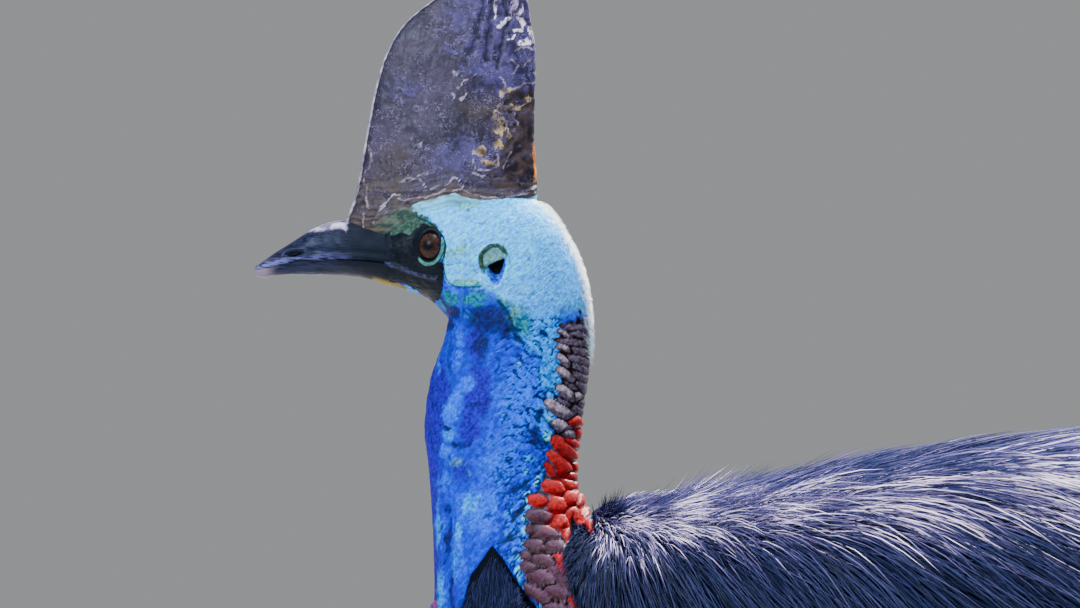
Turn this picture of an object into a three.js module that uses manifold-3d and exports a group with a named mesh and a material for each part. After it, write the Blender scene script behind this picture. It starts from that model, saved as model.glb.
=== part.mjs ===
// Southern cassowary, adult, life size, standing still with its neck half drawn in.
// Millimetres, +Z up. The bird faces -X, so its left side is towards -Y.
// Sizes are written from the foot of the nape, where the back of the neck meets the back,
// with heights above the floor. The finished group is then centred on its footprint.
import * as THREE from "three";
import { mergeVertices } from "three/addons/utils/BufferGeometryUtils.js";
import Module from "manifold-3d";

const wasm = await Module();
wasm.setup();
const { Manifold } = wasm;
const { lerp, clamp, smoothstep, degToRad } = THREE.MathUtils;
const vector = (x, y, z) => new THREE.Vector3(x, y, z);

// Driving dimensions
const GAP = 0.3; // clearance that neighbouring nodes keep
const COAT_DEPTH = 60; // skin to the tips of the plumage on the trunk
const SIDES = [
  ["left", -1],
  ["right", 1],
];

// Head and neck, face to foot of the neck. Each row: crown or nape x, z, throat x, z,
// half width, and how far the fullest width lies towards the crown.
const HEAD_NECK = [
  [-146, 1204, -146, 1163, 20, 0],
  [-117, 1224, -118, 1153.5, 29, 0],
  [-66, 1231, -102, 1140, 37, 0.1],
  [-30, 1218, -101.5, 1133, 38, 0.12],
  [-4, 1172, -104.5, 1119, 37, 0.04],
  [2.5, 1118, -113.5, 1094, 37, 0],
  [-3, 1068, -117.5, 1060, 40, 0],
  [-8, 1030, -113, 1010, 45, 0],
  [-1, 1004, -110.5, 945, 58, 0],
  [8, 1001, -113, 890, 73, 0],
];
const NECK_TOP = 4 / 9; // share of the table where the head meets the neck

// Bill, tip to face: ridge x, z, chin x, z, half width.
const BILL = [
  [-240.5, 1174.6, -238.8, 1168.2, 2.2],
  [-234.9, 1178.7, -233.1, 1167, 4.2],
  [-224.4, 1185.8, -224.4, 1168.8, 6.3],
  [-210.5, 1194.4, -207, 1169.2, 8.6],
  [-198.2, 1202.3, -194, 1169.2, 10.5],
  [-184.3, 1207.5, -181, 1169, 13],
  [-172, 1208.5, -170, 1168.4, 15.8],
  [-158, 1206.5, -157, 1166.4, 18.2],
  [-146, 1204, -146, 1163, 20],
];
// The line between the jaws in side view, from before the tip to the corner of the gape.
const MOUTH_LINE = [
  [-250, 1172],
  [-240.5, 1172.6],
  [-233.3, 1173.6],
  [-224.6, 1175.2],
  [-206.9, 1180.1],
  [-189.5, 1179.8],
  [-172, 1179.6],
  [-154.8, 1178.4],
  [-137.2, 1176.1],
  [-119.7, 1172.7],
  [-105.8, 1166.5],
];
const MOUTH_GAP = 0.6; // width of the cut that parts the jaws
const GAPE = { high: 1.8, inside: 13 }; // groove behind the bill: height, and where it starts
const THROUGH = 60; // past the middle of the head, a cut this long goes right through
const NOSTRIL = { x: -210, y: 8.2, z: 1184.2, long: 6.5, deep: 3, high: 2.3 };

// Casque, base to top: front x, z, rear x, z, half width.
const CASQUE = [
  [-171, 1194, -40, 1206, 21],
  [-174, 1207, -36.5, 1228, 22],
  [-166.8, 1229.3, -37, 1246, 19.5],
  [-160.5, 1265, -38.5, 1270, 16],
  [-153.7, 1301, -38.2, 1297.4, 13],
  [-146, 1327, -37.6, 1326, 10.5],
  [-133, 1349, -40.5, 1348, 8.4],
  [-111, 1367.2, -44, 1367, 6],
  [-90, 1377.5, -51, 1378, 3.6],
];
const CASQUE_PEAK = [-68, 1385];
const CASQUE_KEEL = 0.26; // how much slimmer the casque is along its front, fuller at the back

// Outline of the plumage from the foot of the neck to the rump: back x, z, belly x, z, half width.
const TRUNK = [
  [8, 1003, -114, 888, 76],
  [45, 1012, -126, 790, 128],
  [110, 1025, -108, 690, 172],
  [200, 1043, -20, 606, 206],
  [320, 1060, 130, 560, 228],
  [450, 1068, 320, 536, 236],
  [580, 1048, 500, 530, 228],
  [702, 988, 640, 540, 200],
  [806, 876, 748, 540, 158],
  [872, 728, 838, 540, 104],
  [894, 600, 884, 556, 34],
];
const TAIL_START = 0.7; // share of the trunk where the rump's plumage begins

// Legs, in the plane of the leg: rear x, z, front x, z, half width, top to bottom.
const LEG_SPREAD = 100; // middle of the body to the middle of each leg
const STRIDE = 34; // the left foot stands this far ahead of the middle, the right as far behind
const KNEE_HEIGHT = 640;
const THIGH = [
  [372, 712, 200, 632, 70],
  [384, 679, 216, 601, 66],
  [406, 598, 262, 532, 60],
  [424, 510, 318, 462, 46],
  [438, 438, 364, 404, 34],
  [448, 402, 388, 376, 27],
];
const TARSUS = [
  [448, 402, 388, 376, 27],
  [457, 372, 396, 350, 27],
  [447, 336, 399, 326, 21],
  [436, 298, 397, 294, 17],
  [426, 240, 389, 238, 15.5],
  [420, 170, 384, 168, 15.5],
  [417, 110, 380, 108, 17],
  [418, 66, 375, 66, 21],
  [426, 34, 368, 34, 26],
  [427, 12, 364, 12, 27],
  [420, 0, 370, 0, 23],
];
const FOOT_X = 396;
// Toes: heading outwards in degrees, length from the middle of the foot, half width, height,
// claw length, claw radius, and how far the claw turns forward.
const TOES = {
  inner: { heading: -20, length: 94, half: 12.5, high: 25, claw: 108, root: 8.5, turn: 14 },
  middle: { heading: 3, length: 168, half: 14, high: 27, claw: 46, root: 8.5, turn: 2 },
  outer: { heading: 30, length: 128, half: 12, high: 23, claw: 38, root: 7.5, turn: 6 },
};

const SCUTES = { from: 0.17, to: 0.76, count: 8, step: 0.012, raise: 2.4 };

// Rows of locks: share of the root, locks right round, length, width, thickness at the root.
const LEG_BARE = [2.05, 2.95]; // angles that stay bare where the thighs leave the body
const RUMP_BARE = [2.35, 3.2]; // and under the rump, where the locks from above hang free
const TORSO_ROWS = [
  { share: 0.035, count: 8, length: 105, width: 68, thick: 4 },
  { share: 0.12, count: 10, length: 150, width: 88, thick: 5 },
  { share: 0.205, count: 12, length: 190, width: 100, thick: 6 },
  { share: 0.29, count: 13, length: 225, width: 110, thick: 6, bare: LEG_BARE },
  { share: 0.375, count: 13, length: 250, width: 116, thick: 6, bare: LEG_BARE },
  { share: 0.46, count: 13, length: 255, width: 116, thick: 6, bare: LEG_BARE },
  { share: 0.545, count: 13, length: 240, width: 114, thick: 6, bare: LEG_BARE },
  { share: 0.625, count: 13, length: 190, width: 108, thick: 6 },
];
const TAIL_ROWS = [
  { share: 0.72, count: 9, length: 230, width: 104, thick: 5, ceiling: -12 },
  { share: 0.79, count: 8, length: 220, width: 92, thick: 5, ceiling: -5, bare: RUMP_BARE },
  { share: 0.86, count: 8, length: 200, width: 72, thick: 5, bare: RUMP_BARE },
];
const THIGH_ROWS = [
  { share: 0.4, count: 4, length: 95, width: 60, thick: 4 },
  { share: 0.6, count: 3, length: 80, width: 52, thick: 4 },
];
const RISE = 1.5; // how fast a lock rises from its root: 1 is straight
const CURL = 420; // how gently a lock bends across its width
const GROWN = 0.36; // how much thicker a lock is made where it cuts its neighbours clear
const SHARP = 6; // and how many times as far its sharp edges and tip move out for that

// Folds across the nape, top to bottom, and the bulbs in columns down the sides of the neck.
const NAPE_FOLDS = [
  { from: 0.515, to: 0.63, count: 5, thick: 3.2, span: 0.95 },
  { from: 0.66, to: 0.72, count: 3, thick: 3.8, span: 1 },
  { from: 0.76, to: 0.9, count: 4, thick: 5.6, span: 0.9 },
];
const BULBS = {
  columns: [
    { x: -18, lean: -0.02 },
    { x: -31, lean: -0.1 },
  ],
  top: 1005,
  pitch: 14,
  count: 4,
  size: 5.6,
};

// Eyes, lids and ears in side view, then the folds down the throat, the wattles and the wings.
const EYE = { x: -113.3, z: 1190, inset: 9, radius: 13 };
const LIDS = { wide: 9.6, high: 11.4, thick: 2.3, proud: 0.6 };
const EAR = { x: -67.5, z: 1177, wide: 9.6, high: 13.6, depth: 7, thick: 1.8 };
const THROAT_FOLD = { x: -99, lean: -0.6, top: 1022, foot: 912, thick: 4.9 };
const WATTLE = { root: 922, hang: 150, apart: 17, front: -137, thick: 12.5 };
const WING = { share: 0.22, angle: 1.3, reach: 0.09, lift: 8, thick: 14, quill: 270, quills: 5 };
const QUILL_RADII = [3.4, 3.2, 2.9, 2.5, 1.8, 0];

// Steps by which the slope of a surface is measured.
const SHARE_STEP = 0.004;
const ANGLE_STEP = 0.02;

// Sizes between the rows of a table, by a Catmull-Rom spline through them.
function between(table, share) {
  const last = table.length - 1;
  const place = clamp(share, 0, 1) * last;
  const i = Math.min(Math.floor(place), last - 1);
  const f = place - i;
  const row = (k) => table[clamp(k, 0, last)];
  return table[0].map((_, c) => {
    const [p, q, r, s] = [row(i - 1)[c], row(i)[c], row(i + 1)[c], row(i + 2)[c]];
    const [bend, twist] = [2 * p - 5 * q + 4 * r - s, 3 * q - p - 3 * r + s];
    return 0.5 * (2 * q + (r - p) * f + bend * f ** 2 + twist * f ** 3);
  });
}

// A seeded draw from 0 to 1, so that every build gives the same bird.
function dice(seed) {
  let state = seed;
  return () => {
    state = (state * 1664525 + 1013904223) % 4294967296;
    return state / 4294967296;
  };
}

// A point of a body whose sections are ovals between a back and a belly line. The angle runs from
// 0 on the back to pi on the belly.
function ovalPoint(table, share, angle, side) {
  const [ax, az, bx, bz, half, towardsBack = 0] = between(table, share);
  const c = Math.cos(angle);
  return vector(
    (ax + bx) / 2 + ((ax - bx) / 2) * c,
    side * half * Math.sin(angle) * (1 + towardsBack * c),
    (az + bz) / 2 + ((az - bz) / 2) * c,
  );
}
// The same point lifted along the outward normal, with how the surface runs there.
function surface(table, share, angle, side, lift = 0) {
  const [start, end] = [Math.max(share - SHARE_STEP, 0), Math.min(share + SHARE_STEP, 1)];
  const point = ovalPoint(table, share, angle, side);
  const before = ovalPoint(table, start, angle, side);
  const after = ovalPoint(table, end, angle, side);
  const up = ovalPoint(table, share, angle - ANGLE_STEP, side);
  const down = ovalPoint(table, share, angle + ANGLE_STEP, side);
  const along = after.sub(before);
  const around = down.sub(up);
  const normal = vector().crossVectors(along, around).normalize().multiplyScalar(side);
  return { point: point.addScaledVector(normal, lift), normal, along, around, span: end - start };
}

// Closed skins and booleans

// A closed skin over rings of points. A ring of one point is a tip, other end rings are capped flat.
function loft(rings) {
  const points = rings.flat();
  const start = rings.map((_, k) => rings.slice(0, k).reduce((n, r) => n + r.length, 0));
  const faces = [];
  for (let k = 0; k + 1 < rings.length; k++) {
    const [a, b] = [rings[k].length, rings[k + 1].length];
    const n = Math.max(a, b);
    for (let i = 0; i < n; i++) {
      const j = (i + 1) % n;
      const [p, q] = [start[k] + (i % a), start[k] + (j % a)];
      const [r, s] = [start[k + 1] + (i % b), start[k + 1] + (j % b)];
      if (b > 1) faces.push(p, s, r);
      if (a > 1) faces.push(p, q, s);
    }
  }
  const n = rings[0].length;
  for (let i = 1; i + 1 < n; i++) faces.push(0, i + 1, i);
  const [m, end] = [rings.at(-1).length, start.at(-1)];
  for (let i = 1; i + 1 < m; i++) faces.push(end, end + i, end + i + 1);
  const geometry = new THREE.BufferGeometry().setFromPoints(points);
  geometry.setIndex(faces);
  return geometry;
}
function solid(geometry) {
  const bare = geometry.clone();
  bare.deleteAttribute("normal");
  bare.deleteAttribute("uv");
  const merged = mergeVertices(bare, 1e-4);
  const vertProperties = new Float32Array(merged.attributes.position.array);
  const triVerts = new Uint32Array(merged.index.array);
  const make = () => new Manifold(new wasm.Mesh({ numProp: 3, vertProperties, triVerts }));
  const made = make();
  if (made.volume() >= 0) return made;
  for (let i = 0; i < triVerts.length; i += 3) {
    [triVerts[i], triVerts[i + 1]] = [triVerts[i + 1], triVerts[i]];
  }
  return make();
}
const join = (pieces) => Manifold.union(pieces);
const cut = (body, cutters) => body.subtract(join(cutters));
const largest = (body) => body.decompose().sort((a, b) => b.volume() - a.volume())[0];
function geometryOf(body) {
  const mesh = body.getMesh();
  const positions = new Float32Array(mesh.numVert * 3);
  for (let i = 0; i < mesh.numVert; i++) {
    positions.set(mesh.vertProperties.subarray(i * mesh.numProp, i * mesh.numProp + 3), i * 3);
  }
  return new THREE.BufferGeometry()
    .setAttribute("position", new THREE.BufferAttribute(positions, 3))
    .setIndex(new THREE.BufferAttribute(mesh.triVerts, 1));
}

// The direction along a table's body, square to its section at a share.
function heading(table, share) {
  const [ax, az, bx, bz] = between(table, share);
  const up = vector(ax - bx, 0, az - bz).normalize();
  const way = vector(up.z, 0, -up.x);
  const [cx, cz] = [ax + bx, az + bz];
  const [ex, ez, fx, fz] = between(table, share < 0.5 ? share + 0.05 : share - 0.05);
  const onward = ((ex + fx - cx) * way.x + (ez + fz - cz) * way.z) * (share < 0.5 ? 1 : -1);
  return { way: onward < 0 ? way.negate() : way, up, foot: vector(bx, 0, bz) };
}
// Everything on one side of a body's section at a share: past it, or before it, from a shift along.
function halfSpace(table, share, past, shift = 0) {
  const reach = 3000;
  const { way, up, foot } = heading(table, share);
  const ahead = way.multiplyScalar(past ? 1 : -1);
  const box = new THREE.BoxGeometry(reach, reach, reach).translate(reach / 2, 0, 0);
  const turn = new THREE.Matrix4().makeBasis(ahead, vector().crossVectors(up, ahead), up);
  return solid(box.applyMatrix4(turn.setPosition(foot.addScaledVector(ahead, past ? shift : -shift))));
}

// Shares of a table from one end to the other, in even steps.
function steps(rows, from = 0, to = 1) {
  return Array.from({ length: rows + 1 }, (_, k) => lerp(from, to, k / rows));
}
// A closed skin over a table's sections at the given shares, lifted off them. Its two end rings
// are drawn out by ends, or in where less than 0, and tip closes the far end in a point.
function skin(table, shares, count, { lift = () => 0, ends = [0, 0], tip = false } = {}) {
  const [from, to] = [shares[0], shares.at(-1)];
  const rings = shares.map((share) => {
    if (tip && share === to) return [surface(table, 1, Math.PI / 2, 1).point.setY(0)];
    return Array.from({ length: count }, (_, i) => {
      const turn = (2 * Math.PI * i) / count;
      const side = turn <= Math.PI ? 1 : -1;
      const angle = side > 0 ? turn : 2 * Math.PI - turn;
      return surface(table, share, angle, side, lift(share, angle)).point;
    });
  });
  rings[0].forEach((p) => p.addScaledVector(heading(table, from).way, -ends[0]));
  rings.at(-1).forEach((p) => p.addScaledVector(heading(table, to).way, ends[1]));
  return solid(loft(rings));
}

// An ellipsoid, and a ring such as an eyelid or the rim of an ear.
function egg(at, size, detail = [11, 7]) {
  return solid(new THREE.SphereGeometry(1, ...detail).scale(...size).translate(at.x, at.y, at.z));
}
function rim(at, { wide, high, thick }, side, turn = 0) {
  const ring = new THREE.TorusGeometry(1, 0.5, 3, 10);
  const position = ring.attributes.position;
  for (let i = 0; i < position.count; i++) {
    const p = vector().fromBufferAttribute(position, i);
    const round = Math.hypot(p.x, p.y);
    const out = (round - 1) * 2 * thick;
    position.setXYZ(i, (p.x / round) * (wide + out), p.z * 2 * thick, (p.y / round) * (high + out));
  }
  return solid(ring.rotateZ(side * turn).translate(at.x, at.y, at.z));
}

// A tapered tube through points, oval in section. A radius of 0 makes a tip.
function tube(path, radii, sides, across = vector(0, 1, 0), flat = 1, floor = -Infinity) {
  const rings = path.map((point, k) => {
    const ahead = path[Math.min(k + 1, path.length - 1)].clone().sub(path[Math.max(k - 1, 0)]).normalize();
    const u = vector().crossVectors(across, ahead).normalize();
    const v = vector().crossVectors(ahead, u);
    if (radii[k] === 0) return [point.clone()];
    return Array.from({ length: sides }, (_, i) => {
      const turn = (2 * Math.PI * i) / sides;
      const p = point.clone()
        .addScaledVector(u, radii[k] * Math.cos(turn))
        .addScaledVector(v, radii[k] * flat * Math.sin(turn));
      return p.setZ(Math.max(p.z, floor));
    });
  });
  return solid(loft(rings));
}

const nodes = [];
function add(name, body, color, roughness = 0.6) {
  const material = new THREE.MeshStandardMaterial({ color, roughness, metalness: 0 });
  const mesh = new THREE.Mesh(geometryOf(largest(body)), material);
  mesh.name = name;
  nodes.push(mesh);
}
const SKIN_BLUE = "#5fb4e0";
const NECK_BLUE = "#2350c8";
const PLUMAGE = "#15161f";
const HORN = "#3a3036";
const BILL_BLACK = "#121214";
const SCALES = "#8b8578";
const WATTLE_RED = "#b02a20";
const IRIS_BROWN = "#3a1c10";
const CLAW_BLACK = "#1c1a1a";

// Eyes, lids and ears

// The share and angle of the head or neck skin at a place in side view.
function locate(x, z) {
  let best = { miss: Infinity };
  for (let share = 0; share <= 1; share += SHARE_STEP) {
    const [ax, az, bx, bz] = between(HEAD_NECK, share);
    const [ux, uz] = [ax - bx, az - bz];
    const along = ((x - bx) * ux + (z - bz) * uz) / (ux * ux + uz * uz);
    const c = clamp(2 * along - 1, -0.999, 0.999);
    const miss = Math.hypot(bx + (ux * (c + 1)) / 2 - x, bz + (uz * (c + 1)) / 2 - z);
    if (miss < best.miss) best = { miss, share, angle: Math.acos(c) };
  }
  return best;
}
function headPoint({ x, z }, side) {
  const { share, angle } = locate(x, z);
  return surface(HEAD_NECK, share, angle, side);
}
function eyeCentre(side) {
  const { point, normal } = headPoint(EYE, side);
  return point.addScaledVector(normal, -EYE.inset);
}
const eyeball = (side, grow = 0) => egg(eyeCentre(side), Array(3).fill(EYE.radius + grow));
function lids(side) {
  const { point, normal } = headPoint(EYE, side);
  const turn = Math.atan2(-normal.x, Math.abs(normal.y));
  return rim(point.addScaledVector(normal, LIDS.proud), LIDS, side, turn);
}
function earCup(side) {
  const { point, normal } = headPoint(EAR, side);
  const size = [EAR.wide - EAR.thick, EAR.depth, EAR.high - EAR.thick];
  return egg(point.addScaledVector(normal, 1.5), size, [10, 6]);
}
const earRim = (side) => rim(headPoint(EAR, side).point, EAR, side);

// Bill, mouth line and casque

// A slab that follows the mouth line: so high over it, so low under it, and from side to side.
function mouthCut(high, low, across = [-THROUGH, THROUGH]) {
  const line = MOUTH_LINE.map(([x, z]) => new THREE.Vector2(x, z));
  const under = line.map((p) => new THREE.Vector2(p.x, p.y - low)).reverse();
  const shape = new THREE.Shape(line.map((p) => new THREE.Vector2(p.x, p.y + high)).concat(under));
  const slab = new THREE.ExtrudeGeometry(shape, { depth: across[1] - across[0], bevelEnabled: false });
  return solid(slab.rotateX(Math.PI / 2).translate(0, across[1], 0));
}
const billWhole = (grow = 0) => skin(BILL, steps(10), 12, { lift: () => grow, ends: [grow, grow || -GAP] });
function nostrils() {
  return SIDES.map(([, side]) => {
    const at = vector(NOSTRIL.x, side * NOSTRIL.y, NOSTRIL.z);
    return egg(at, [NOSTRIL.long, NOSTRIL.deep, NOSTRIL.high], [8, 6]);
  });
}
function casque() {
  const count = 14;
  const rings = CASQUE.map(([fx, fz, rx, rz, half]) =>
    Array.from({ length: count }, (_, i) => {
      const turn = (2 * Math.PI * i) / count;
      const c = Math.cos(turn);
      return vector(
        (fx + rx) / 2 + ((fx - rx) / 2) * c,
        half * (1 - CASQUE_KEEL * c) * Math.sin(turn),
        (fz + rz) / 2 + ((fz - rz) / 2) * c,
      );
    }),
  );
  rings.push([vector(CASQUE_PEAK[0], 0, CASQUE_PEAK[1])]);
  return solid(loft(rings));
}

// Head: skin with lids, ear cups and the gape. Neck: down to the plumage of the trunk.
const headSkin = (grow = 0) =>
  skin(HEAD_NECK, steps(10, 0, NECK_TOP), 20, { lift: () => grow, ends: [grow, grow] });
const gape = SIDES.map(([, side]) => {
  const across = [side * GAPE.inside, side * THROUGH].sort((a, b) => a - b);
  return mouthCut(GAPE.high / 2, GAPE.high / 2, across);
});
const eyesGrown = SIDES.map(([, side]) => eyeball(side, GAP));
const ears = SIDES.map(([, side]) => earCup(side));
const rims = SIDES.flatMap(([, side]) => [lids(side), earRim(side)]);
const headCuts = [...eyesGrown, ...ears, ...gape, halfSpace(HEAD_NECK, 0, false)];
add("head", cut(join([headSkin(), ...rims]), headCuts), SKIN_BLUE);

// Neck: folds across the nape, fleshy bulbs below them, and two folds down to the wattles.
const neckSkin = (grow = 0) =>
  skin(HEAD_NECK, steps(8, NECK_TOP, 1), 18, { lift: () => grow, ends: [grow || -GAP, 0] });
// A point of the neck by share and by angle from the nape, which is less than 0 on the left.
function napePoint(share, angle, lift) {
  return surface(HEAD_NECK, share, Math.abs(angle), angle < 0 ? -1 : 1, lift).point;
}
function napeFold({ share, span, drop, thick }, shift) {
  const path = [];
  const radii = [];
  const rings = 5;
  for (let k = 0; k <= rings; k++) {
    const a = lerp(-1, 1, k / rings);
    path.push(napePoint(share + drop * (1 - a * a) + shift * a, a * span, -0.35 * thick));
    radii.push(Math.abs(a) === 1 ? 0 : thick * (1 - 0.45 * a * a));
  }
  return tube(path, radii, 4, vector(0, 0, 1), 1.4);
}
function napeFolds() {
  const draw = dice(11);
  const folds = [];
  NAPE_FOLDS.forEach(({ from, to, count, thick, span }) => {
    steps(count - 1, from, to).forEach((share) => {
      const size = thick * lerp(0.85, 1.15, draw());
      folds.push(napeFold({ share, span, drop: 0.012, thick: size }, lerp(-0.006, 0.006, draw())));
    });
  });
  return folds;
}
function bulbs() {
  const draw = dice(29);
  const pieces = [];
  SIDES.forEach(([, side]) => {
    BULBS.columns.forEach(({ x, lean }, column) => {
      for (let k = 0; k < BULBS.count; k++) {
        const z = BULBS.top - (k + 0.5 * (column % 2)) * BULBS.pitch + lerp(-1.5, 1.5, draw());
        const { share, angle } = locate(x + lean * (BULBS.top - z), z);
        const { point, normal } = surface(HEAD_NECK, share, angle, side, 0.5);
        const size = BULBS.size * lerp(0.85, 1.2, draw());
        const ball = new THREE.SphereGeometry(1, 6, 3).scale(size * 1.15, size * 0.62, size * 0.85);
        const turn = new THREE.Matrix4().lookAt(vector(), normal, vector(0, 0, 1));
        const upright = new THREE.Matrix4().makeRotationX(Math.PI / 2);
        pieces.push(solid(ball.applyMatrix4(upright).applyMatrix4(turn).translate(...point)));
      }
    });
  });
  return pieces;
}
function throatFold(side) {
  const { x, lean, top, foot, thick } = THROAT_FOLD;
  const shape = [0, 0.6, 0.85, 1, 1, 0];
  const path = shape.map((_, k) => {
    const { share, angle } = locate(x + k * lean, lerp(top, foot, k / (shape.length - 1)));
    return surface(HEAD_NECK, share, angle, side, -1).point;
  });
  return tube(path, shape.map((wide) => wide * thick), 5);
}
const throatFolds = SIDES.map(([, side]) => throatFold(side));
const neckPieces = [neckSkin(), ...napeFolds(), ...bulbs(), ...throatFolds];
const neckEnds = [halfSpace(HEAD_NECK, 1, true), halfSpace(HEAD_NECK, NECK_TOP, false, -GAP)];
add("neck", cut(join(neckPieces), neckEnds), NECK_BLUE);
const wholeBill = cut(billWhole(), nostrils());
const mouthGap = mouthCut(MOUTH_GAP / 2, MOUTH_GAP / 2);
add("bill_upper", wholeBill.intersect(mouthCut(THROUGH, 0)).subtract(mouthGap), BILL_BLACK, 0.3);
add("bill_lower", wholeBill.intersect(mouthCut(0, THROUGH)).subtract(mouthGap), BILL_BLACK, 0.3);
add("casque", cut(casque(), [headSkin(GAP), billWhole(GAP)]), HORN, 0.45);
SIDES.forEach(([name, side]) => add(`eye_${name}`, eyeball(side), IRIS_BROWN, 0.1));

// Trunk and coat
// How deep the coat is, and its core, which lies half way from the skin to the tips.
function coatDepth(share) {
  const deepening = lerp(10, COAT_DEPTH, smoothstep(share, 0, 0.24));
  return deepening * (1 - 0.85 * smoothstep(share, 0.85, 1));
}
const coreDepth = (share) => coatDepth(share) / 2;

// The way the plumage lies on the trunk: back and outwards along the spine, down over the flanks,
// down the breast, and down behind the rump.
function lie(share, angle, side) {
  const down = lerp(1.35, 0.75, smoothstep(share, 0, 0.45)) + 0.9 * smoothstep(share, 0.7, 1);
  const breast = smoothstep(angle, 2, 3) * (1 - smoothstep(share, 0.1, 0.4));
  const parting = 0.45 * (1 - smoothstep(angle, 0.3, 1.1));
  return vector(1 - 0.75 * breast, side * parting, -down);
}
const trunkCoat = { table: TRUNK, depth: coreDepth, lie, sink: 14, fall: 2.25, end: 0.9 };

// One flat, tapered lock of plumage. It is rooted under the core at (share, angle), follows the
// lie of its coat for its length, and rises to a ceiling, which is 0 at the coat's outline. Past
// the coat's fall angle it leaves the body and hangs.
function lock(coat, { share, angle, side, length, width, thick, swing = 0, ceiling = 0 }, grow = 0) {
  const shape = [0.7, 1, 0.9, 0.56, 0];
  const segments = shape.length - 1;
  const rings = [];
  const spot = { share, angle };
  let free = null;
  shape.forEach((wide, k) => {
    const s = k / segments;
    const low = -coat.depth(spot.share) - coat.sink;
    const lift = lerp(low, ceiling, 1 - (1 - s) ** RISE);
    const { point, normal } = surface(coat.table, spot.share, spot.angle, side, lift);
    const down = vector(0, 0, -1);
    const way = free ? free.way.lerp(down, 0.25).normalize() : along(coat, spot, side, swing).go;
    const at = free ? free.at : point;
    const across = vector().crossVectors(normal, way).normalize();
    const out = vector().crossVectors(way, across).normalize();
    const half = (width / 2) * wide;
    const curl = half ** 2 / CURL + grow;
    const reach = half + grow * SHARP;
    const edge = (turn) => at.clone().addScaledVector(across, turn * reach).addScaledVector(out, -curl);
    if (k === segments) rings.push([at.clone().addScaledVector(way, grow * SHARP)]);
    else rings.push([edge(-1), at.clone().addScaledVector(out, thick * (1 - 0.35 * s) + grow), edge(1)]);
    const step = length / segments;
    const past = angle < coat.fall && spot.angle > coat.fall;
    if (free || past || spot.share > coat.end) {
      free = { way: way.clone(), at: at.clone().addScaledVector(way, step) };
    } else advance(coat, spot, side, swing, step);
  });
  return solid(loft(rings));
}
// The lie of a coat in its own surface at a spot, turned by a swing.
function along(coat, { share, angle }, side, swing) {
  const here = surface(coat.table, share, angle, side);
  const go = coat.lie(share, angle, side);
  go.addScaledVector(here.normal, -go.dot(here.normal)).normalize();
  return { ...here, go: go.applyAxisAngle(here.normal, swing * side) };
}
// Moves a spot of a coat by a length along the lie.
function advance(coat, spot, side, swing, length) {
  const moves = 3;
  for (let i = 0; i < moves; i++) {
    const here = along(coat, spot, side, swing);
    const perShare = here.along.divideScalar(here.span);
    const perAngle = here.around.divideScalar(2 * ANGLE_STEP);
    const [aa, ab, bb] = [perShare.dot(perShare), perShare.dot(perAngle), perAngle.dot(perAngle)];
    const [ga, gb] = [here.go.dot(perShare), here.go.dot(perAngle)];
    const scale = length / moves / (aa * bb - ab * ab);
    spot.share = clamp(spot.share + (ga * bb - gb * ab) * scale, 0, 1);
    const angle = spot.angle + (gb * aa - ga * ab) * scale;
    spot.angle = clamp(angle, ANGLE_STEP, Math.PI - ANGLE_STEP);
  }
}
// Rows of locks right round a coat, each row set half a step from the last.
function locks(coat, rows, seed, grow = 0) {
  const draw = dice(seed);
  const pieces = [];
  rows.forEach(({ share, count, length, width, thick, ceiling = 0, bare = [9, 9] }, row) => {
    for (let i = 0; i < count; i++) {
      const turn = (2 * Math.PI * (i + 0.5 * (row % 2) + lerp(-0.12, 0.12, draw()))) / count;
      const side = turn % (2 * Math.PI) <= Math.PI ? 1 : -1;
      const angle = side > 0 ? turn % (2 * Math.PI) : 2 * Math.PI - (turn % (2 * Math.PI));
      const sizes = {
        share: share + lerp(-0.008, 0.008, draw()),
        angle: clamp(angle, 0.05, Math.PI - 0.05),
        side,
        length: length * lerp(0.88, 1.12, draw()),
        width: width * lerp(0.92, 1.1, draw()),
        thick: thick * lerp(0.85, 1.15, draw()),
        swing: lerp(-0.12, 0.12, draw()),
        ceiling: ceiling + lerp(-2, 0, draw()),
      };
      if (angle < bare[0] || angle > bare[1]) pieces.push(lock(coat, sizes, grow));
    }
  });
  return pieces;
}
const coreSkin = (grow = 0) =>
  skin(TRUNK, steps(12), 18, { lift: (share) => grow - coreDepth(share), tip: true });
const neckSide = halfSpace(HEAD_NECK, 1, false, GAP);
const rumpSide = halfSpace(TRUNK, TAIL_START, true);
const coreCut = coreSkin().subtract(rumpSide);
const torsoLocks = join(locks(trunkCoat, TORSO_ROWS, 5));
const torsoBody = cut(join([coreCut, torsoLocks]), [neckSide, coreSkin(GAP).intersect(rumpSide)]);
// Neighbours are cut clear of the grown locks, and of the locks' own shape where a bend stands proud.
const grownLocks = join([torsoLocks, ...locks(trunkCoat, TORSO_ROWS, 5, GROWN)]);
const torsoGrown = join([coreSkin(GAP).subtract(rumpSide), grownLocks]);
add("torso", torsoBody, PLUMAGE);
const tailPieces = [coreSkin(), ...locks(trunkCoat, TAIL_ROWS, 17)];
add("tail", cut(join(tailPieces), [grownLocks, halfSpace(TRUNK, TAIL_START, false, GAP)]), PLUMAGE);

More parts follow.
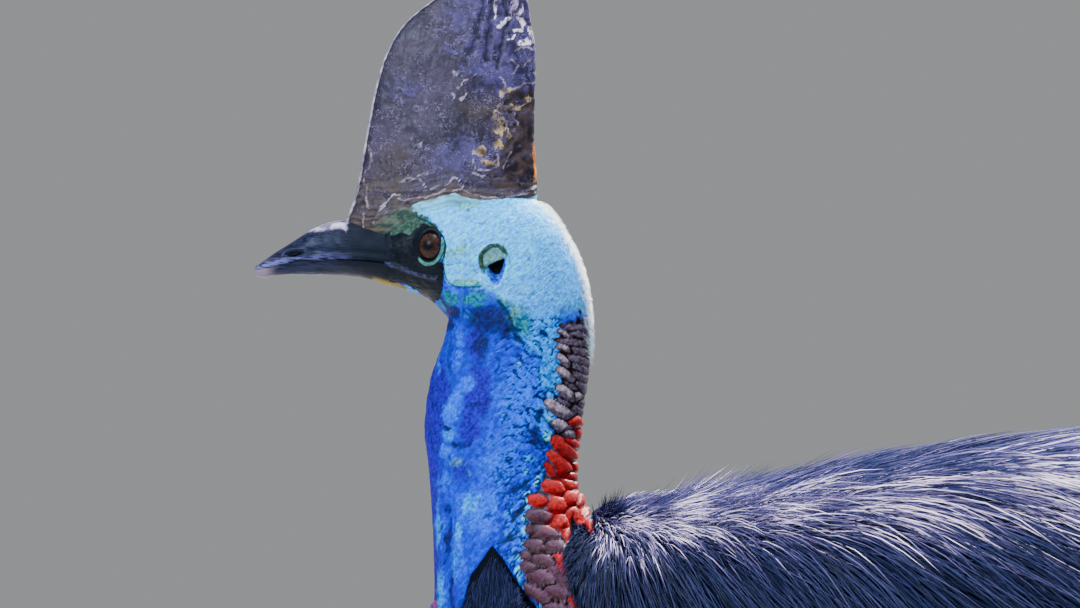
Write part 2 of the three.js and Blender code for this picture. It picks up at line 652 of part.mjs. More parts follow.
// Wattles
const neckGrown = neckSkin(GAP);
function wattle(side) {
  const path = [];
  const radii = [];
  const rings = 9;
  for (let k = 0; k <= rings; k++) {
    const s = k / rings;
    const forward = smoothstep(s, 0, 0.45);
    path.push(vector(
      lerp(-104, WATTLE.front, forward),
      side * lerp(10, WATTLE.apart, smoothstep(s, 0, 0.6)),
      WATTLE.root + 14 - s * (WATTLE.hang + 14),
    ));
    const full = Math.sin(Math.PI * clamp(0.12 + s * 0.72, 0, 1)) ** 0.8;
    radii.push(k === rings ? 0 : WATTLE.thick * lerp(0.32, 1, full));
  }
  return tube(path, radii, 10);
}
SIDES.forEach(([name, side]) => {
  add(`wattle_${name}`, cut(wattle(side), [neckGrown, torsoGrown]), WATTLE_RED, 0.55);
});

// Wings: a stub at the shoulder and bare quills that curve down over the flank.
function wing(side) {
  const stubPath = steps(4).map((s) => {
    const { share, angle } = { share: WING.share + s * WING.reach, angle: WING.angle + 0.12 * s };
    return surface(TRUNK, share, angle, side, lerp(-30, WING.lift, smoothstep(s, 0, 0.8))).point;
  });
  const { normal } = surface(TRUNK, WING.share, WING.angle, side);
  const stub = [0.93, 1, 0.93, 0.7, 0].map((wide) => wide * WING.thick);
  const pieces = [tube(stubPath, stub, 6, normal, 0.8)];
  for (let q = 0; q < WING.quills; q++) {
    const fan = q / (WING.quills - 1);
    const spot = { share: WING.share + WING.reach * lerp(0.72, 0.3, fan), angle: WING.angle + 0.1 };
    const swing = lerp(0.3, -0.35, fan);
    const reach = WING.quill * lerp(1, 0.72, fan);
    const rings = QUILL_RADII.length - 1;
    const path = [];
    for (let k = 0; k <= rings; k++) {
      const lift = WING.lift + 3 * Math.sin((Math.PI * k) / rings) + 1.5 * (q % 2);
      path.push(surface(TRUNK, spot.share, spot.angle, side, lift).point);
      advance(trunkCoat, spot, side, swing - 0.05 * k, reach / rings);
    }
    pieces.push(tube(path, QUILL_RADII, 4, normal));
  }
  return join(pieces);
}
SIDES.forEach(([name, side]) => add(`wing_${name}`, cut(wing(side), [torsoGrown]), PLUMAGE));

// Legs

// Places a leg at its side and leans it, so that the foot takes its part of the stride.
function stance(side) {
  const lean = new THREE.Matrix4().makeShear(0, 0, 0, 0, (-side * STRIDE) / KNEE_HEIGHT, 0);
  return lean.setPosition(side * STRIDE, side * LEG_SPREAD, 0);
}
const place = (body, side) => solid(geometryOf(body).applyMatrix4(stance(side)));
// The tarsus, with scutes down its front: each swells towards its lower edge and steps back in.
const scuteEdges = steps(SCUTES.count - 1, SCUTES.from, SCUTES.to);
const scuteShares = scuteEdges.flatMap((share) => [share, share + SCUTES.step]);
const tarsusShares = [0, 0.06, 0.12, ...scuteShares, 0.84, 0.91, 0.96, 1];
function scuteLift(share, angle) {
  const edge = scuteEdges.some((s) => Math.abs(s - share) < 1e-9);
  return edge ? SCUTES.raise * smoothstep(angle, 1.2, 2) : 0;
}
const tarsusSkin = (grow = 0) =>
  skin(TARSUS, tarsusShares, 10, {
    lift: (share, angle) => grow + scuteLift(share, angle),
    ends: [grow || -GAP, grow ? 5 : 0],
  });
function toe({ heading: degrees, length, half, high }, side, grow = 0) {
  const turn = degToRad(degrees) * side;
  const ahead = vector(-Math.cos(turn), Math.sin(turn), 0);
  const across = vector(-ahead.y, ahead.x, 0);
  const rings = [];
  const [rows, count] = [5, 8];
  for (let k = 0; k <= rows; k++) {
    const s = k / rows;
    const pad = 1 + 0.1 * Math.cos(2 * Math.PI * 2.5 * s);
    const wide = half * lerp(1, 0.7, s) * pad + grow;
    const tall = (high / 2) * lerp(1, 0.62, s) * (k === rows ? 0.86 : 1) + grow;
    const reach = lerp(5, length + grow, s);
    rings.push(Array.from({ length: count }, (_, i) => {
      const a = (2 * Math.PI * i) / count;
      const up = tall * 0.82 + tall * 1.18 * Math.sin(a);
      return vector(FOOT_X, 0, Math.max(up, -grow))
        .addScaledVector(ahead, reach)
        .addScaledVector(across, wide * Math.cos(a));
    }));
  }
  return solid(loft(rings));
}
function claw({ heading: degrees, length, high, claw: reach, root, turn }, side) {
  const path = [];
  const radii = [];
  const rings = 4;
  const base = (high / 2) * 0.62;
  const at = vector(FOOT_X, 0, base + 1);
  const start = degToRad(degrees) * side;
  at.add(vector(-Math.cos(start), Math.sin(start), 0).multiplyScalar(length - 9));
  for (let k = 0; k <= rings; k++) {
    const s = k / rings;
    path.push(at.clone().setZ(lerp(base + 1, 3.2, s ** 2)));
    radii.push(k === rings ? 0 : root * (1 - s) ** 0.75 * 0.8);
    const way = start + degToRad(turn) * side * s;
    at.add(vector(-Math.cos(way), Math.sin(way), 0).multiplyScalar((reach + 9) / rings));
  }
  return tube(path, radii, 6, vector(0, 1, 0), 0.9, 0.8);
}

// Thigh and drumstick in their plumage, down to the ankle.
const thighDepth = (share) => lerp(14, 0, smoothstep(share, 0.72, 0.96));
const thighCore = skin(THIGH, steps(7), 12, { lift: (share) => -thighDepth(share) });
const thighLie = (share) => heading(THIGH, share).way;
const thighCoat = { table: THIGH, depth: thighDepth, lie: thighLie, sink: 8, fall: 4, end: 2 };
SIDES.forEach(([name, side]) => {
  const tarsusGrown = tarsusSkin(GAP);
  const middleGrown = toe(TOES.middle, side, GAP);
  add(`tarsus_${name}`, place(tarsusSkin(), side), SCALES);
  const thigh = join([thighCore, ...locks(thighCoat, THIGH_ROWS, 41)]);
  const drumstick = cut(place(thigh, side), [torsoGrown, place(tarsusGrown, side)]);
  add(`thigh_${name}`, drumstick, PLUMAGE);
  Object.entries(TOES).forEach(([toeName, sizes]) => {
    const cutters = toeName === "middle" ? [tarsusGrown] : [tarsusGrown, middleGrown];
    const body = largest(cut(toe(sizes, side), cutters));
    add(`toe_${toeName}_${name}`, place(body, side), SCALES);
    const claws = cut(claw(sizes, side), [toe(sizes, side, GAP)]);
    add(`claw_${toeName}_${name}`, place(claws, side), CLAW_BLACK, 0.35);
  });
});

// The origin is on the floor under the middle of the bird's bounding box.
const root = new THREE.Group();
nodes.forEach((mesh) => root.add(mesh));
const box = new THREE.Box3().setFromObject(root);
const middle = box.getCenter(vector());
root.position.set(-middle.x, -middle.y, -box.min.z);
export default root;
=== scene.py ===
"""A southern cassowary, life size and standing still: the visual model around the CAD frame.

Sizes are millimetres in the bird's own frame, measured from the foot of the nape, with heights
above the floor. The bird faces -X and its left side is towards -Y. world() turns them into
metres in the frame. What the photo shows is placed by photo(px, py), in the plane of the head.
"""
import itertools
import math

import bpy
import numpy as np
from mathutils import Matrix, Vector

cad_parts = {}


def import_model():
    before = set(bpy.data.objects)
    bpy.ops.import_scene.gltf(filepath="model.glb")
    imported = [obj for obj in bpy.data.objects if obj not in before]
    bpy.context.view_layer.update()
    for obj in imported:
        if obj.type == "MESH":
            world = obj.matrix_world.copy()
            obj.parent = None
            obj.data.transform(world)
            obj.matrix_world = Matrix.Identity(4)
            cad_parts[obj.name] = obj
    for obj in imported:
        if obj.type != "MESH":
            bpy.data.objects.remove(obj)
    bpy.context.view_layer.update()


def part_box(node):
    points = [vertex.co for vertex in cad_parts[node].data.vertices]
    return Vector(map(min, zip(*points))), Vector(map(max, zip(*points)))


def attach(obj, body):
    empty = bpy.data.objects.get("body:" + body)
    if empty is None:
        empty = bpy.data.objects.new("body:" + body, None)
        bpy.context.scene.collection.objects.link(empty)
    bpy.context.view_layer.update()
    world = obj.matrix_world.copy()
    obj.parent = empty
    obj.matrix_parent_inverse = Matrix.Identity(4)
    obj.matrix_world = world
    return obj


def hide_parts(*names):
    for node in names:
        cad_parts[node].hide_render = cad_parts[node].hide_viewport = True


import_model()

# The photo and its scale
MM_PER_PIXEL = 0.72
PHOTO_NAPE = (588, 510)
NAPE_HEIGHT = 1000
PHOTO_CENTRE = (540, 304)
PHOTO_WIDTH = 1080


def photo(*pixels):
    """Side-view x, z in millimetres for each pixel px, py of the photo."""
    spots = [
        ((px - PHOTO_NAPE[0]) * MM_PER_PIXEL, NAPE_HEIGHT + (PHOTO_NAPE[1] - py) * MM_PER_PIXEL)
        for px, py in pixels
    ]
    return np.array(spots)


# The outline tables of the solids: back x, z, belly x, z, half width, and for the head and neck
# how far the fullest width lies towards the crown.
HEAD_NECK = [
    [-146, 1204, -146, 1163, 20, 0],
    [-117, 1224, -118, 1153.5, 29, 0],
    [-66, 1231, -102, 1140, 37, 0.1],
    [-30, 1218, -101.5, 1133, 38, 0.12],
    [-4, 1172, -104.5, 1119, 37, 0.04],
    [2.5, 1118, -113.5, 1094, 37, 0],
    [-3, 1068, -117.5, 1060, 40, 0],
    [-8, 1030, -113, 1010, 45, 0],
    [-1, 1004, -110.5, 945, 58, 0],
    [8, 1001, -113, 890, 73, 0],
]
BILL = [
    [-240.5, 1174.6, -238.8, 1168.2, 2.2],
    [-234.9, 1178.7, -233.1, 1167, 4.2],
    [-224.4, 1185.8, -224.4, 1168.8, 6.3],
    [-210.5, 1194.4, -207, 1169.2, 8.6],
    [-198.2, 1202.3, -194, 1169.2, 10.5],
    [-184.3, 1207.5, -181, 1169, 13],
    [-172, 1208.5, -170, 1168.4, 15.8],
    [-158, 1206.5, -157, 1166.4, 18.2],
    [-146, 1204, -146, 1163, 20],
]
MOUTH_LINE = [
    [-250, 1172],
    [-240.5, 1172.6],
    [-233.3, 1173.6],
    [-224.6, 1175.2],
    [-206.9, 1180.1],
    [-189.5, 1179.8],
    [-172, 1179.6],
    [-154.8, 1178.4],
    [-137.2, 1176.1],
    [-119.7, 1172.7],
    [-105.8, 1166.5],
]
CASQUE = [
    [-171, 1194, -40, 1206, 21],
    [-174, 1207, -36.5, 1228, 22],
    [-166.8, 1229.3, -37, 1246, 19.5],
    [-160.5, 1265, -38.5, 1270, 16],
    [-153.7, 1301, -38.2, 1297.4, 13],
    [-146, 1327, -37.6, 1326, 10.5],
    [-133, 1349, -40.5, 1348, 8.4],
    [-111, 1367.2, -44, 1367, 6],
    [-90, 1377.5, -51, 1378, 3.6],
    [-70, 1384, -64, 1384.4, 0.8],
]
CASQUE_KEEL = 0.26
CASQUE_REAR = -36.5  # the rearmost row of the casque, which ties this frame to the solids
TRUNK = [
    [8, 1003, -114, 888, 76],
    [45, 1012, -126, 790, 128],
    [110, 1025, -108, 690, 172],
    [200, 1043, -20, 606, 206],
    [320, 1060, 130, 560, 228],
    [450, 1068, 320, 536, 236],
    [580, 1048, 500, 530, 228],
    [702, 988, 640, 540, 200],
    [806, 876, 748, 540, 158],
    [872, 728, 838, 540, 104],
    [894, 600, 884, 556, 34],
]
LEG_SPREAD = 100
STRIDE = 34
KNEE_HEIGHT = 640
THIGH = [
    [372, 712, 200, 632, 70],
    [384, 679, 216, 601, 66],
    [406, 598, 262, 532, 60],
    [424, 510, 318, 462, 46],
    [438, 438, 364, 404, 34],
    [448, 402, 388, 376, 27],
]
TARSUS = [
    [448, 402, 388, 376, 27],
    [457, 372, 396, 350, 27],
    [447, 336, 399, 326, 21],
    [436, 298, 397, 294, 17],
    [426, 240, 389, 238, 15.5],
    [420, 170, 384, 168, 15.5],
    [417, 110, 380, 108, 17],
    [418, 66, 375, 66, 21],
    [426, 34, 368, 34, 26],
    [427, 12, 364, 12, 27],
    [420, 0, 370, 0, 23],
]
FOOT_X = 396
TOES = {
    "inner": dict(heading=-20, length=94, half=12.5, high=25, claw=108, root=8.5, turn=14),
    "middle": dict(heading=3, length=168, half=14, high=27, claw=46, root=8.5, turn=2),
    "outer": dict(heading=30, length=128, half=12, high=23, claw=38, root=7.5, turn=6),
}
COAT_DEPTH = 60
EYE = dict(x=-113.3, z=1190, inset=9, radius=13, wide=7.4, high=10.2, tilt=0.16)
EAR = photo((493.8, 264))[0]
WATTLE = dict(root=922, hang=150, apart=17, front=-137, thick=12.5)
WING = dict(share=0.22, angle=1.3, reach=0.09, lift=8, quill=270, quills=5)
SIDES = {"left": -1, "right": 1}
SHARE_STEP = 0.004
ANGLE_STEP = 0.02

shift_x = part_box("casque")[1][0] * 1000 - CASQUE_REAR


def world(points):
    """Points of the bird in metres in the frame."""
    return (np.asarray(points, float) + (shift_x, 0, 0)) / 1000


# Curves, surfaces and noise


def smoothstep(value, low, high):
    """0 below low, 1 above high and an even curve between them; low may be the greater."""
    t = np.clip((value - low) / (high - low), 0, 1)
    return t * t * (3 - 2 * t)


def bell(value):
    """1 at 0, falling to almost nothing at 2 and -2."""
    return np.exp(-(value**2))


def lerp(a, b, t):
    """From a, where t is 0, to b, where it is 1."""
    return a + (b - a) * t


def unit(vectors):
    """The vectors at length 1."""
    return vectors / np.maximum(np.linalg.norm(vectors, axis=-1, keepdims=True), 1e-9)


def between(table, share):
    """Sizes between the rows of a table, by a smooth spline through them."""
    rows = np.asarray(table, float)
    last = len(rows) - 1
    spot = np.clip(np.asarray(share, float), 0, 1) * last
    i = np.minimum(spot.astype(int), last - 1)
    f = (spot - i)[..., None]
    p, q, r, s = (rows[np.clip(i + k, 0, last)] for k in (-1, 0, 1, 2))
    bend = 2 * p - 5 * q + 4 * r - s
    twist = 3 * q - p - 3 * r + s
    return 0.5 * (2 * q + (r - p) * f + bend * f**2 + twist * f**3)


def oval_point(table, share, angle, side):
    """A point of a body with oval sections. The angle is 0 on the back and pi on the belly."""
    rows = between(table, share)
    ax, az, bx, bz, half = (rows[..., k] for k in range(5))
    towards_back = rows[..., 5] if rows.shape[-1] > 5 else 0
    c = np.cos(angle)
    x = (ax + bx) / 2 + (ax - bx) / 2 * c
    y = side * half * np.sin(angle) * (1 + towards_back * c)
    z = (az + bz) / 2 + (az - bz) / 2 * c
    return np.stack(np.broadcast_arrays(x, y, z), -1)


def surface(table, share, angle, side):
    """Point, outward normal, and how the point moves per share and per angle."""
    start, end = np.maximum(share - SHARE_STEP, 0), np.minimum(share + SHARE_STEP, 1)
    along = oval_point(table, end, angle, side) - oval_point(table, start, angle, side)
    onward = oval_point(table, share, angle + ANGLE_STEP, side)
    around = onward - oval_point(table, share, angle - ANGLE_STEP, side)
    normal = unit(np.cross(along, around)) * np.asarray(side)[..., None]
    per_share = along / np.asarray(end - start)[..., None]
    return oval_point(table, share, angle, side), normal, per_share, around / (2 * ANGLE_STEP)


def locate(x, z):
    """Share and angle on the head and neck of places in side view."""
    x, z = np.atleast_1d(x).astype(float), np.atleast_1d(z).astype(float)
    shares, angles = np.meshgrid(np.linspace(0.01, 0.99, 80), np.linspace(0.1, 3.04, 60))
    coarse = oval_point(HEAD_NECK, shares.ravel(), angles.ravel(), 1.0)
    miss = (coarse[:, 0] - x[:, None]) ** 2 + (coarse[:, 2] - z[:, None]) ** 2
    best = np.argmin(miss, axis=1)
    share, angle = shares.ravel()[best], angles.ravel()[best]
    for _ in range(6):
        point, _, a, b = surface(HEAD_NECK, share, angle, 1.0)
        dx, dz = x - point[:, 0], z - point[:, 2]
        det = a[:, 0] * b[:, 2] - a[:, 2] * b[:, 0]
        det = np.where(np.abs(det) < 1e-6, 1e-6, det)
        share = np.clip(share + (dx * b[:, 2] - dz * b[:, 0]) / det, 0, 1)
        angle = np.clip(angle + (dz * a[:, 0] - dx * a[:, 2]) / det, 0.02, math.pi - 0.02)
    return share, angle


# Large primes that scramble the corners of the noise's cells
HASH_AXES = np.array([73856093, 19349663, 83492791])
HASH_SEED = 40503
HASH_MIX = 1274126177


def noise(points, size, seed=0, octaves=1):
    """Smooth noise from about -1 to 1, with features of a size in millimetres."""
    total = 0.0
    for octave in range(octaves):
        scaled = np.asarray(points, float) / size * 2**octave + 17.3 * octave
        cell = np.floor(scaled).astype(np.int64)
        f = scaled - cell
        f = f * f * (3 - 2 * f)
        for corner in itertools.product((0, 1), repeat=3):
            c = cell + np.array(corner)
            h = np.bitwise_xor.reduce(c * HASH_AXES, axis=-1) ^ (seed + 1) * HASH_SEED
            h = ((h ^ (h >> 13)) * HASH_MIX) & 0xFFFFFFFF
            h = h ^ (h >> 16)
            weight = np.prod(np.where(np.array(corner) == 1, f, 1 - f), axis=-1)
            total = total + weight * (h / 2.0**31 - 1) / 2**octave
    return total


def inside(x, z, corners, soft):
    """1 inside a polygon in side view and 0 outside it, with a soft edge."""
    distance = np.full(np.shape(x), 1e9)
    odd = np.zeros(np.shape(x), bool)
    for (x0, z0), (x1, z1) in zip(corners, np.roll(corners, -1, axis=0)):
        distance = np.minimum(distance, segment_distance(x, z, x0, z0, x1, z1))
        crosses = (z0 > z) != (z1 > z)
        odd ^= crosses & (x < (x1 - x0) * (z - z0) / (z1 - z0 + 1e-12) + x0)
    return smoothstep(np.where(odd, distance, -distance), -soft, soft)


def segment_distance(x, z, x0, z0, x1, z1):
    """Distance in side view to a straight piece of line."""
    length = (x1 - x0) ** 2 + (z1 - z0) ** 2
    t = np.clip(((x - x0) * (x1 - x0) + (z - z0) * (z1 - z0)) / length, 0, 1)
    return np.hypot(x - x0 - t * (x1 - x0), z - z0 - t * (z1 - z0))


def line_distance(x, z, line):
    """Distance in side view to an open line."""
    parts = [segment_distance(x, z, *a, *b) for a, b in zip(line, line[1:])]
    return np.min(parts, axis=0)


def line_x(z, line):
    """The x of a line at heights z, where the line runs from top to bottom."""
    order = np.argsort(line[:, 1])
    return np.interp(z, line[order, 1], line[order, 0])


def spot(x, z, middle, radii, turn):
    """A soft spot in side view, 1 at its middle, which is a pixel of the photo."""
    middle_x, middle_z = photo(middle)[0]
    dx, dz = x - middle_x, z - middle_z
    u = dx * math.cos(turn) + dz * math.sin(turn)
    v = dz * math.cos(turn) - dx * math.sin(turn)
    return np.exp(-((u / radii[0]) ** 2) - (v / radii[1]) ** 2)


# Meshes


def grid_faces(rows, columns):
    """Quads between the rings of a grid of points."""
    i, j = np.meshgrid(np.arange(rows - 1), np.arange(columns), indexing="ij")
    this, beside = i * columns + j, i * columns + (j + 1) % columns
    return np.stack([this, beside, beside + columns, this + columns], -1).reshape(-1, 4)


def fan_faces(ring, tip):
    """Triangles from a ring of points, by their numbers, to a tip."""
    ring = np.asarray(ring)
    return np.stack([ring, np.roll(ring, -1), np.full(len(ring), tip)], -1)


def capped(points, rows, columns, tips=None):
    """A grid of rings closed by a fan to a point at each end: its points and faces."""
    if tips is None:
        tips = points[:columns].mean(0), points[-columns:].mean(0)
    count = rows * columns
    ring = np.arange(columns)
    faces = [
        grid_faces(rows, columns),
        fan_faces(ring, count)[:, ::-1],
        fan_faces(ring + count - columns, count + 1),
    ]
    return np.vstack([points, *tips]), faces


def for_tips(mask):
    """A mask of the rings of a closed grid, with no value at its two tips."""
    return np.append(mask, [0, 0])


def ring_grid(rows, columns, start=0.0, end=1.0):
    """For each point of a grid of rings, how far along it lies and its turn round the ring."""
    along = np.repeat(np.linspace(start, end, rows), columns)
    turn = np.tile(np.linspace(0, 2 * math.pi, columns, endpoint=False), rows)
    return along, turn


def outward(points, faces):
    """The faces turned so that they enclose a positive volume."""
    volume = 0.0
    for part in faces:
        a, b, c = (points[part[:, k]] for k in range(3))
        volume += np.sum(a * np.cross(b, c))
        if part.shape[1] == 4:
            volume += np.sum(a * np.cross(c, points[part[:, 3]]))
    return faces if volume > 0 else [part[:, ::-1] for part in faces]


def tube(points, radii, sides, flat=1.0, across=(0.0, 1.0, 0.0)):
    """A closed tapered tube along points: its points and faces. It ends in points."""
    path = np.asarray(points, float)
    ahead = unit(np.gradient(path, axis=0))
    u = unit(np.cross(np.broadcast_to(across, path.shape), ahead))
    v = np.cross(ahead, u)
    turn = np.linspace(0, 2 * math.pi, sides, endpoint=False)
    radii = np.asarray(radii, float)[:, None, None]
    ring = u[:, None] * np.cos(turn)[:, None] + v[:, None] * (flat * np.sin(turn))[:, None]
    skin = (path[:, None] + radii * ring).reshape(-1, 3)
    return capped(skin, len(path), sides, (path[0], path[-1]))


def joined(pieces):
    """Several pairs of points and faces as one."""
    points, faces, count = [], [], 0
    for part_points, part_faces in pieces:
        points.append(part_points)
        faces += [part + count for part in part_faces]
        count += len(part_points)
    return np.vstack(points), faces


def make(name, points, faces, material, nodes=(), masks=None, uv=None, turned=True):
    """One piece of the bird from points in millimetres, riding on the frame's only body."""
    faces = outward(points, faces) if turned else faces
    mesh = bpy.data.meshes.new(name)
    mesh.vertices.add(len(points))
    mesh.vertices.foreach_set("co", world(points).ravel())
    corners = np.concatenate([part.ravel() for part in faces])
    sizes = np.concatenate([np.full(len(part), part.shape[1]) for part in faces])
    mesh.loops.add(len(corners))
    mesh.loops.foreach_set("vertex_index", corners.astype(np.int32))
    mesh.polygons.add(len(sizes))
    mesh.polygons.foreach_set("loop_start", (np.cumsum(sizes) - sizes).astype(np.int32))
    mesh.polygons.foreach_set("use_smooth", np.ones(len(sizes), bool))
    mesh.update(calc_edges=True)
    for mask, values in (masks or {}).items():
        attribute = mesh.attributes.new(mask, "FLOAT", "POINT")
        attribute.data.foreach_set("value", np.asarray(values, np.float32))
    if uv is not None:
        layer = mesh.uv_layers.new(name="OFBake")
        layer.data.foreach_set("uv", uv[corners].astype(np.float32).ravel())
    piece = bpy.data.objects.new(name, mesh)
    bpy.context.scene.collection.objects.link(piece)
    mesh.materials.append(material)
    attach(piece, "root")
    if nodes:
        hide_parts(*nodes)


# Materials

# Bluish tints of the gloss, from the open sky in the photo
WET_BLUE = (0.7, 0.85, 1.0, 1.0)
HORN_BLUE = (0.7, 0.8, 1.0, 1.0)
BILL_BLUE = (0.5, 0.65, 1.0, 1.0)
FEATHER_BLUE = (0.5, 0.6, 1.0, 1.0)


def srgb(code):
    """A linear colour from a six-digit hexadecimal one."""
    values = [int(code[k : k + 2], 16) / 255 for k in (0, 2, 4)]
    return [v / 12.92 if v <= 0.04045 else ((v + 0.055) / 1.055) ** 2.4 for v in values] + [1.0]


class Finish:
    """A material's node tree, with short ways to add to it."""

    def __init__(self, name, roughness, **sockets):
        self.material = bpy.data.materials.new(name)
        self.material.use_nodes = True
        self.nodes = self.material.node_tree.nodes
        self.links = self.material.node_tree.links
        self.shader = self.nodes["Principled BSDF"]
        self.shader.inputs["Roughness"].default_value = roughness
        for socket, value in sockets.items():
            self.shader.inputs[socket.replace("_", " ")].default_value = value
        self.place = self.nodes.new("ShaderNodeTexCoord").outputs["Object"]

    def put(self, value, socket):
        """Feeds a socket with another node's output, a number, or a colour's hexadecimal code."""
        if isinstance(value, bpy.types.NodeSocket):
            self.links.new(value, socket)
        else:
            socket.default_value = srgb(value) if isinstance(value, str) else value

    def attribute(self, name):
        """A mask of the mesh."""
        node = self.nodes.new("ShaderNodeAttribute")
        node.attribute_name = name
        return node.outputs["Fac"]

    def noise(self, scale, detail=4.0, distortion=0.0, stretch=None, turn=(0, 0, 0)):
        node = self.nodes.new("ShaderNodeTexNoise")
        self.put(self.mapped(stretch, turn), node.inputs["Vector"])
        node.inputs["Scale"].default_value = scale
        node.inputs["Detail"].default_value = detail
        node.inputs["Distortion"].default_value = distortion
        return node.outputs["Fac"]

    def cells(self, scale, feature="DISTANCE_TO_EDGE", stretch=None, place=None):
        node = self.nodes.new("ShaderNodeTexVoronoi")
        node.feature = feature
        self.put(place or self.mapped(stretch), node.inputs["Vector"])
        node.inputs["Scale"].default_value = scale
        return node.outputs["Distance"]

    def warped(self, scale, amount):
        """Object coordinates pushed about by noise, so that a pattern isn't straight."""
        node = self.nodes.new("ShaderNodeTexNoise")
        self.links.new(self.place, node.inputs["Vector"])
        node.inputs["Scale"].default_value = scale
        add = self.nodes.new("ShaderNodeVectorMath")
        add.operation = "MULTIPLY_ADD"
        self.links.new(node.outputs["Color"], add.inputs[0])
        add.inputs[1].default_value = (amount,) * 3
        self.links.new(self.place, add.inputs[2])
        return add.outputs["Vector"]

    def mapped(self, stretch, turn=(0, 0, 0)):
        """Object coordinates turned and stretched."""
        if stretch is None:
            return self.place
        node = self.nodes.new("ShaderNodeMapping")
        node.vector_type = "TEXTURE"  # turns first, then divides by the scale
        self.links.new(self.place, node.inputs["Vector"])
        node.inputs["Rotation"].default_value = turn
        node.inputs["Scale"].default_value = [1 / times for times in stretch]
        return node.outputs["Vector"]

    def math(self, operation, a, b):
        node = self.nodes.new("ShaderNodeMath")
        node.operation = operation
        self.put(a, node.inputs[0])
        self.put(b, node.inputs[1])
        return node.outputs["Value"]

    def plus(self, a, b):
        return self.math("ADD", a, b)

    def times(self, a, b):
        return self.math("MULTIPLY", a, b)

    def range(self, value, low, high, start=0.0, end=1.0):
        """Start below low, end above high, and an even curve between them."""
        node = self.nodes.new("ShaderNodeMapRange")
        node.interpolation_type = "SMOOTHSTEP"
        self.put(value, node.inputs["Value"])
        ends = {"From Min": low, "From Max": high, "To Min": start, "To Max": end}
        for socket, number in ends.items():
            node.inputs[socket].default_value = number
        return node.outputs["Result"]

    def mix(self, factor, a, b):
        node = self.nodes.new("ShaderNodeMix")
        node.data_type = "RGBA"
        self.put(factor, node.inputs["Factor"])
        self.put(a, node.inputs["A"])
        self.put(b, node.inputs["B"])
        return node.outputs["Result"]

    def layer(self, colour, mask, tone, grain, ragged, soft, strength=1.0):
        """A tone laid over a colour where a mask passes a half, its edge broken up by grain."""
        mask = self.plus(mask, self.range(grain, 0.25, 0.75, -ragged / 2, ragged / 2))
        return self.mix(self.range(mask, 0.5 - soft, 0.5 + soft, 0.0, strength), colour, tone)

    def bump(self, height, distance, normal=None):
        node = self.nodes.new("ShaderNodeBump")
        node.inputs["Distance"].default_value = distance
        self.put(height, node.inputs["Height"])
        if normal is not None:
            self.put(normal, node.inputs["Normal"])
        return node.outputs["Normal"]

    def finish(self, colour=None, roughness=None, normal=None):
        """Joins what is given to the shader, and returns the material."""
        for value, socket in ((colour, "Base Color"), (roughness, "Roughness"), (normal, "Normal")):
            if value is not None:
                self.put(value, self.shader.inputs[socket])
        return self.material


# Where things lie on the head and neck, from the photo. Unless they are made with photo(),
# the numbers of these tables are pixels of the photo, and slopes are degrees down to the right.

GAPE_EDGE = photo(
    (366, 257), (380, 261.5), (391, 264.5), (402, 268), (413, 272), (423, 275.5), (437, 278),
)
BLACK_SKIN = photo(
    (318, 222), (350, 229), (372, 235), (380, 238), (392, 236), (402, 233), (410, 236.5),
    (417, 229),
    (421, 229), (423, 244), (424, 258), (431, 266), (442, 267), (444, 279), (443, 290), (440, 298),
    (434, 303), (420, 293), (405, 284), (378, 280), (318, 280),
)
OLIVE_BROW = photo(
    (374, 240), (377, 224), (384, 214), (398, 208), (410, 206), (418, 214), (427, 219), (437, 226),
    (446, 238), (441, 240), (432, 231), (424, 228), (414, 240), (400, 236), (388, 240),
)
YELLOW_PATCH = photo((374, 277.5), (392, 281.5), (409, 287), (404, 292), (388, 290), (370, 283))
HEAD_EDGE = photo(
    (380, 200), (404, 206), (424, 222), (440, 236), (447, 250), (443, 265), (444, 274), (450, 284),
    (462, 287), (484, 287), (496, 296), (512, 304), (535, 300), (560, 303), (600, 312), (600, 150),
    (380, 150),
)
HEAD_REAR = photo(
    (537, 192), (548, 200), (563, 216), (576, 240), (586, 270), (591, 300), (594, 330),
    (594, 380),
)
CHEEK_FOLD = photo((443, 268), (446, 278), (450, 283), (456, 286.5), (466, 287), (482, 286.5))
JAW_FOLD = photo((499, 302), (505, 309), (509, 315), (511.5, 321), (511, 330))
BROW_LINE = photo(
    (411, 211), (420, 219), (429, 222.5), (437, 228.5), (444, 237), (446.5, 246), (445, 256),
    (442, 264),
)
EAR_EDGE = photo(
    (481, 263), (481.5, 255), (486, 249.5), (491, 246.5), (497, 246), (503, 249), (507, 254),
    (508, 260), (507, 270), (504, 279), (500, 286), (496, 289), (490, 283), (485, 275),
)
EAR_RIM = np.vstack([EAR_EDGE, EAR_EDGE[:1]])
EAR_PLATE = photo(
    (483, 266), (483, 255), (489, 249), (498, 248), (506, 254), (505.5, 258.5), (495, 262.5),
    (487, 267),
)
EAR_HOLE = photo(
    (487, 267), (495, 262.5), (505, 258.5), (503, 267), (499.5, 274.5), (494, 275.5),
    (490, 271.5),
)
BAND_LEFT = photo(
    (568, 300), (562, 312), (561, 339), (561, 359), (563, 388), (560, 405), (556, 428), (552, 449),
    (547, 473), (537, 494), (531, 516), (529, 545), (524, 557), (525, 572), (530, 586), (543, 600),
    (556, 640), (575, 668),
)
BAND_RIGHT = photo(
    (571, 522), (568, 535), (566, 546), (570, 575), (575, 600), (579, 640), (580, 668),
)
FEATHER_LEFT = photo(
    (492.5, 542), (479, 560), (469, 573), (463, 595), (455, 615), (440, 640), (415, 668)
)
FEATHER_RIGHT = photo(
    (492.5, 542), (504, 556), (514, 573), (528, 590), (540, 608), (556, 644), (575, 672)
)
BARE_FOOT = 888  # below this height the plumage closes over the bare skin
NAPE_FEATHERS = 997  # and behind the bare band it starts at this height
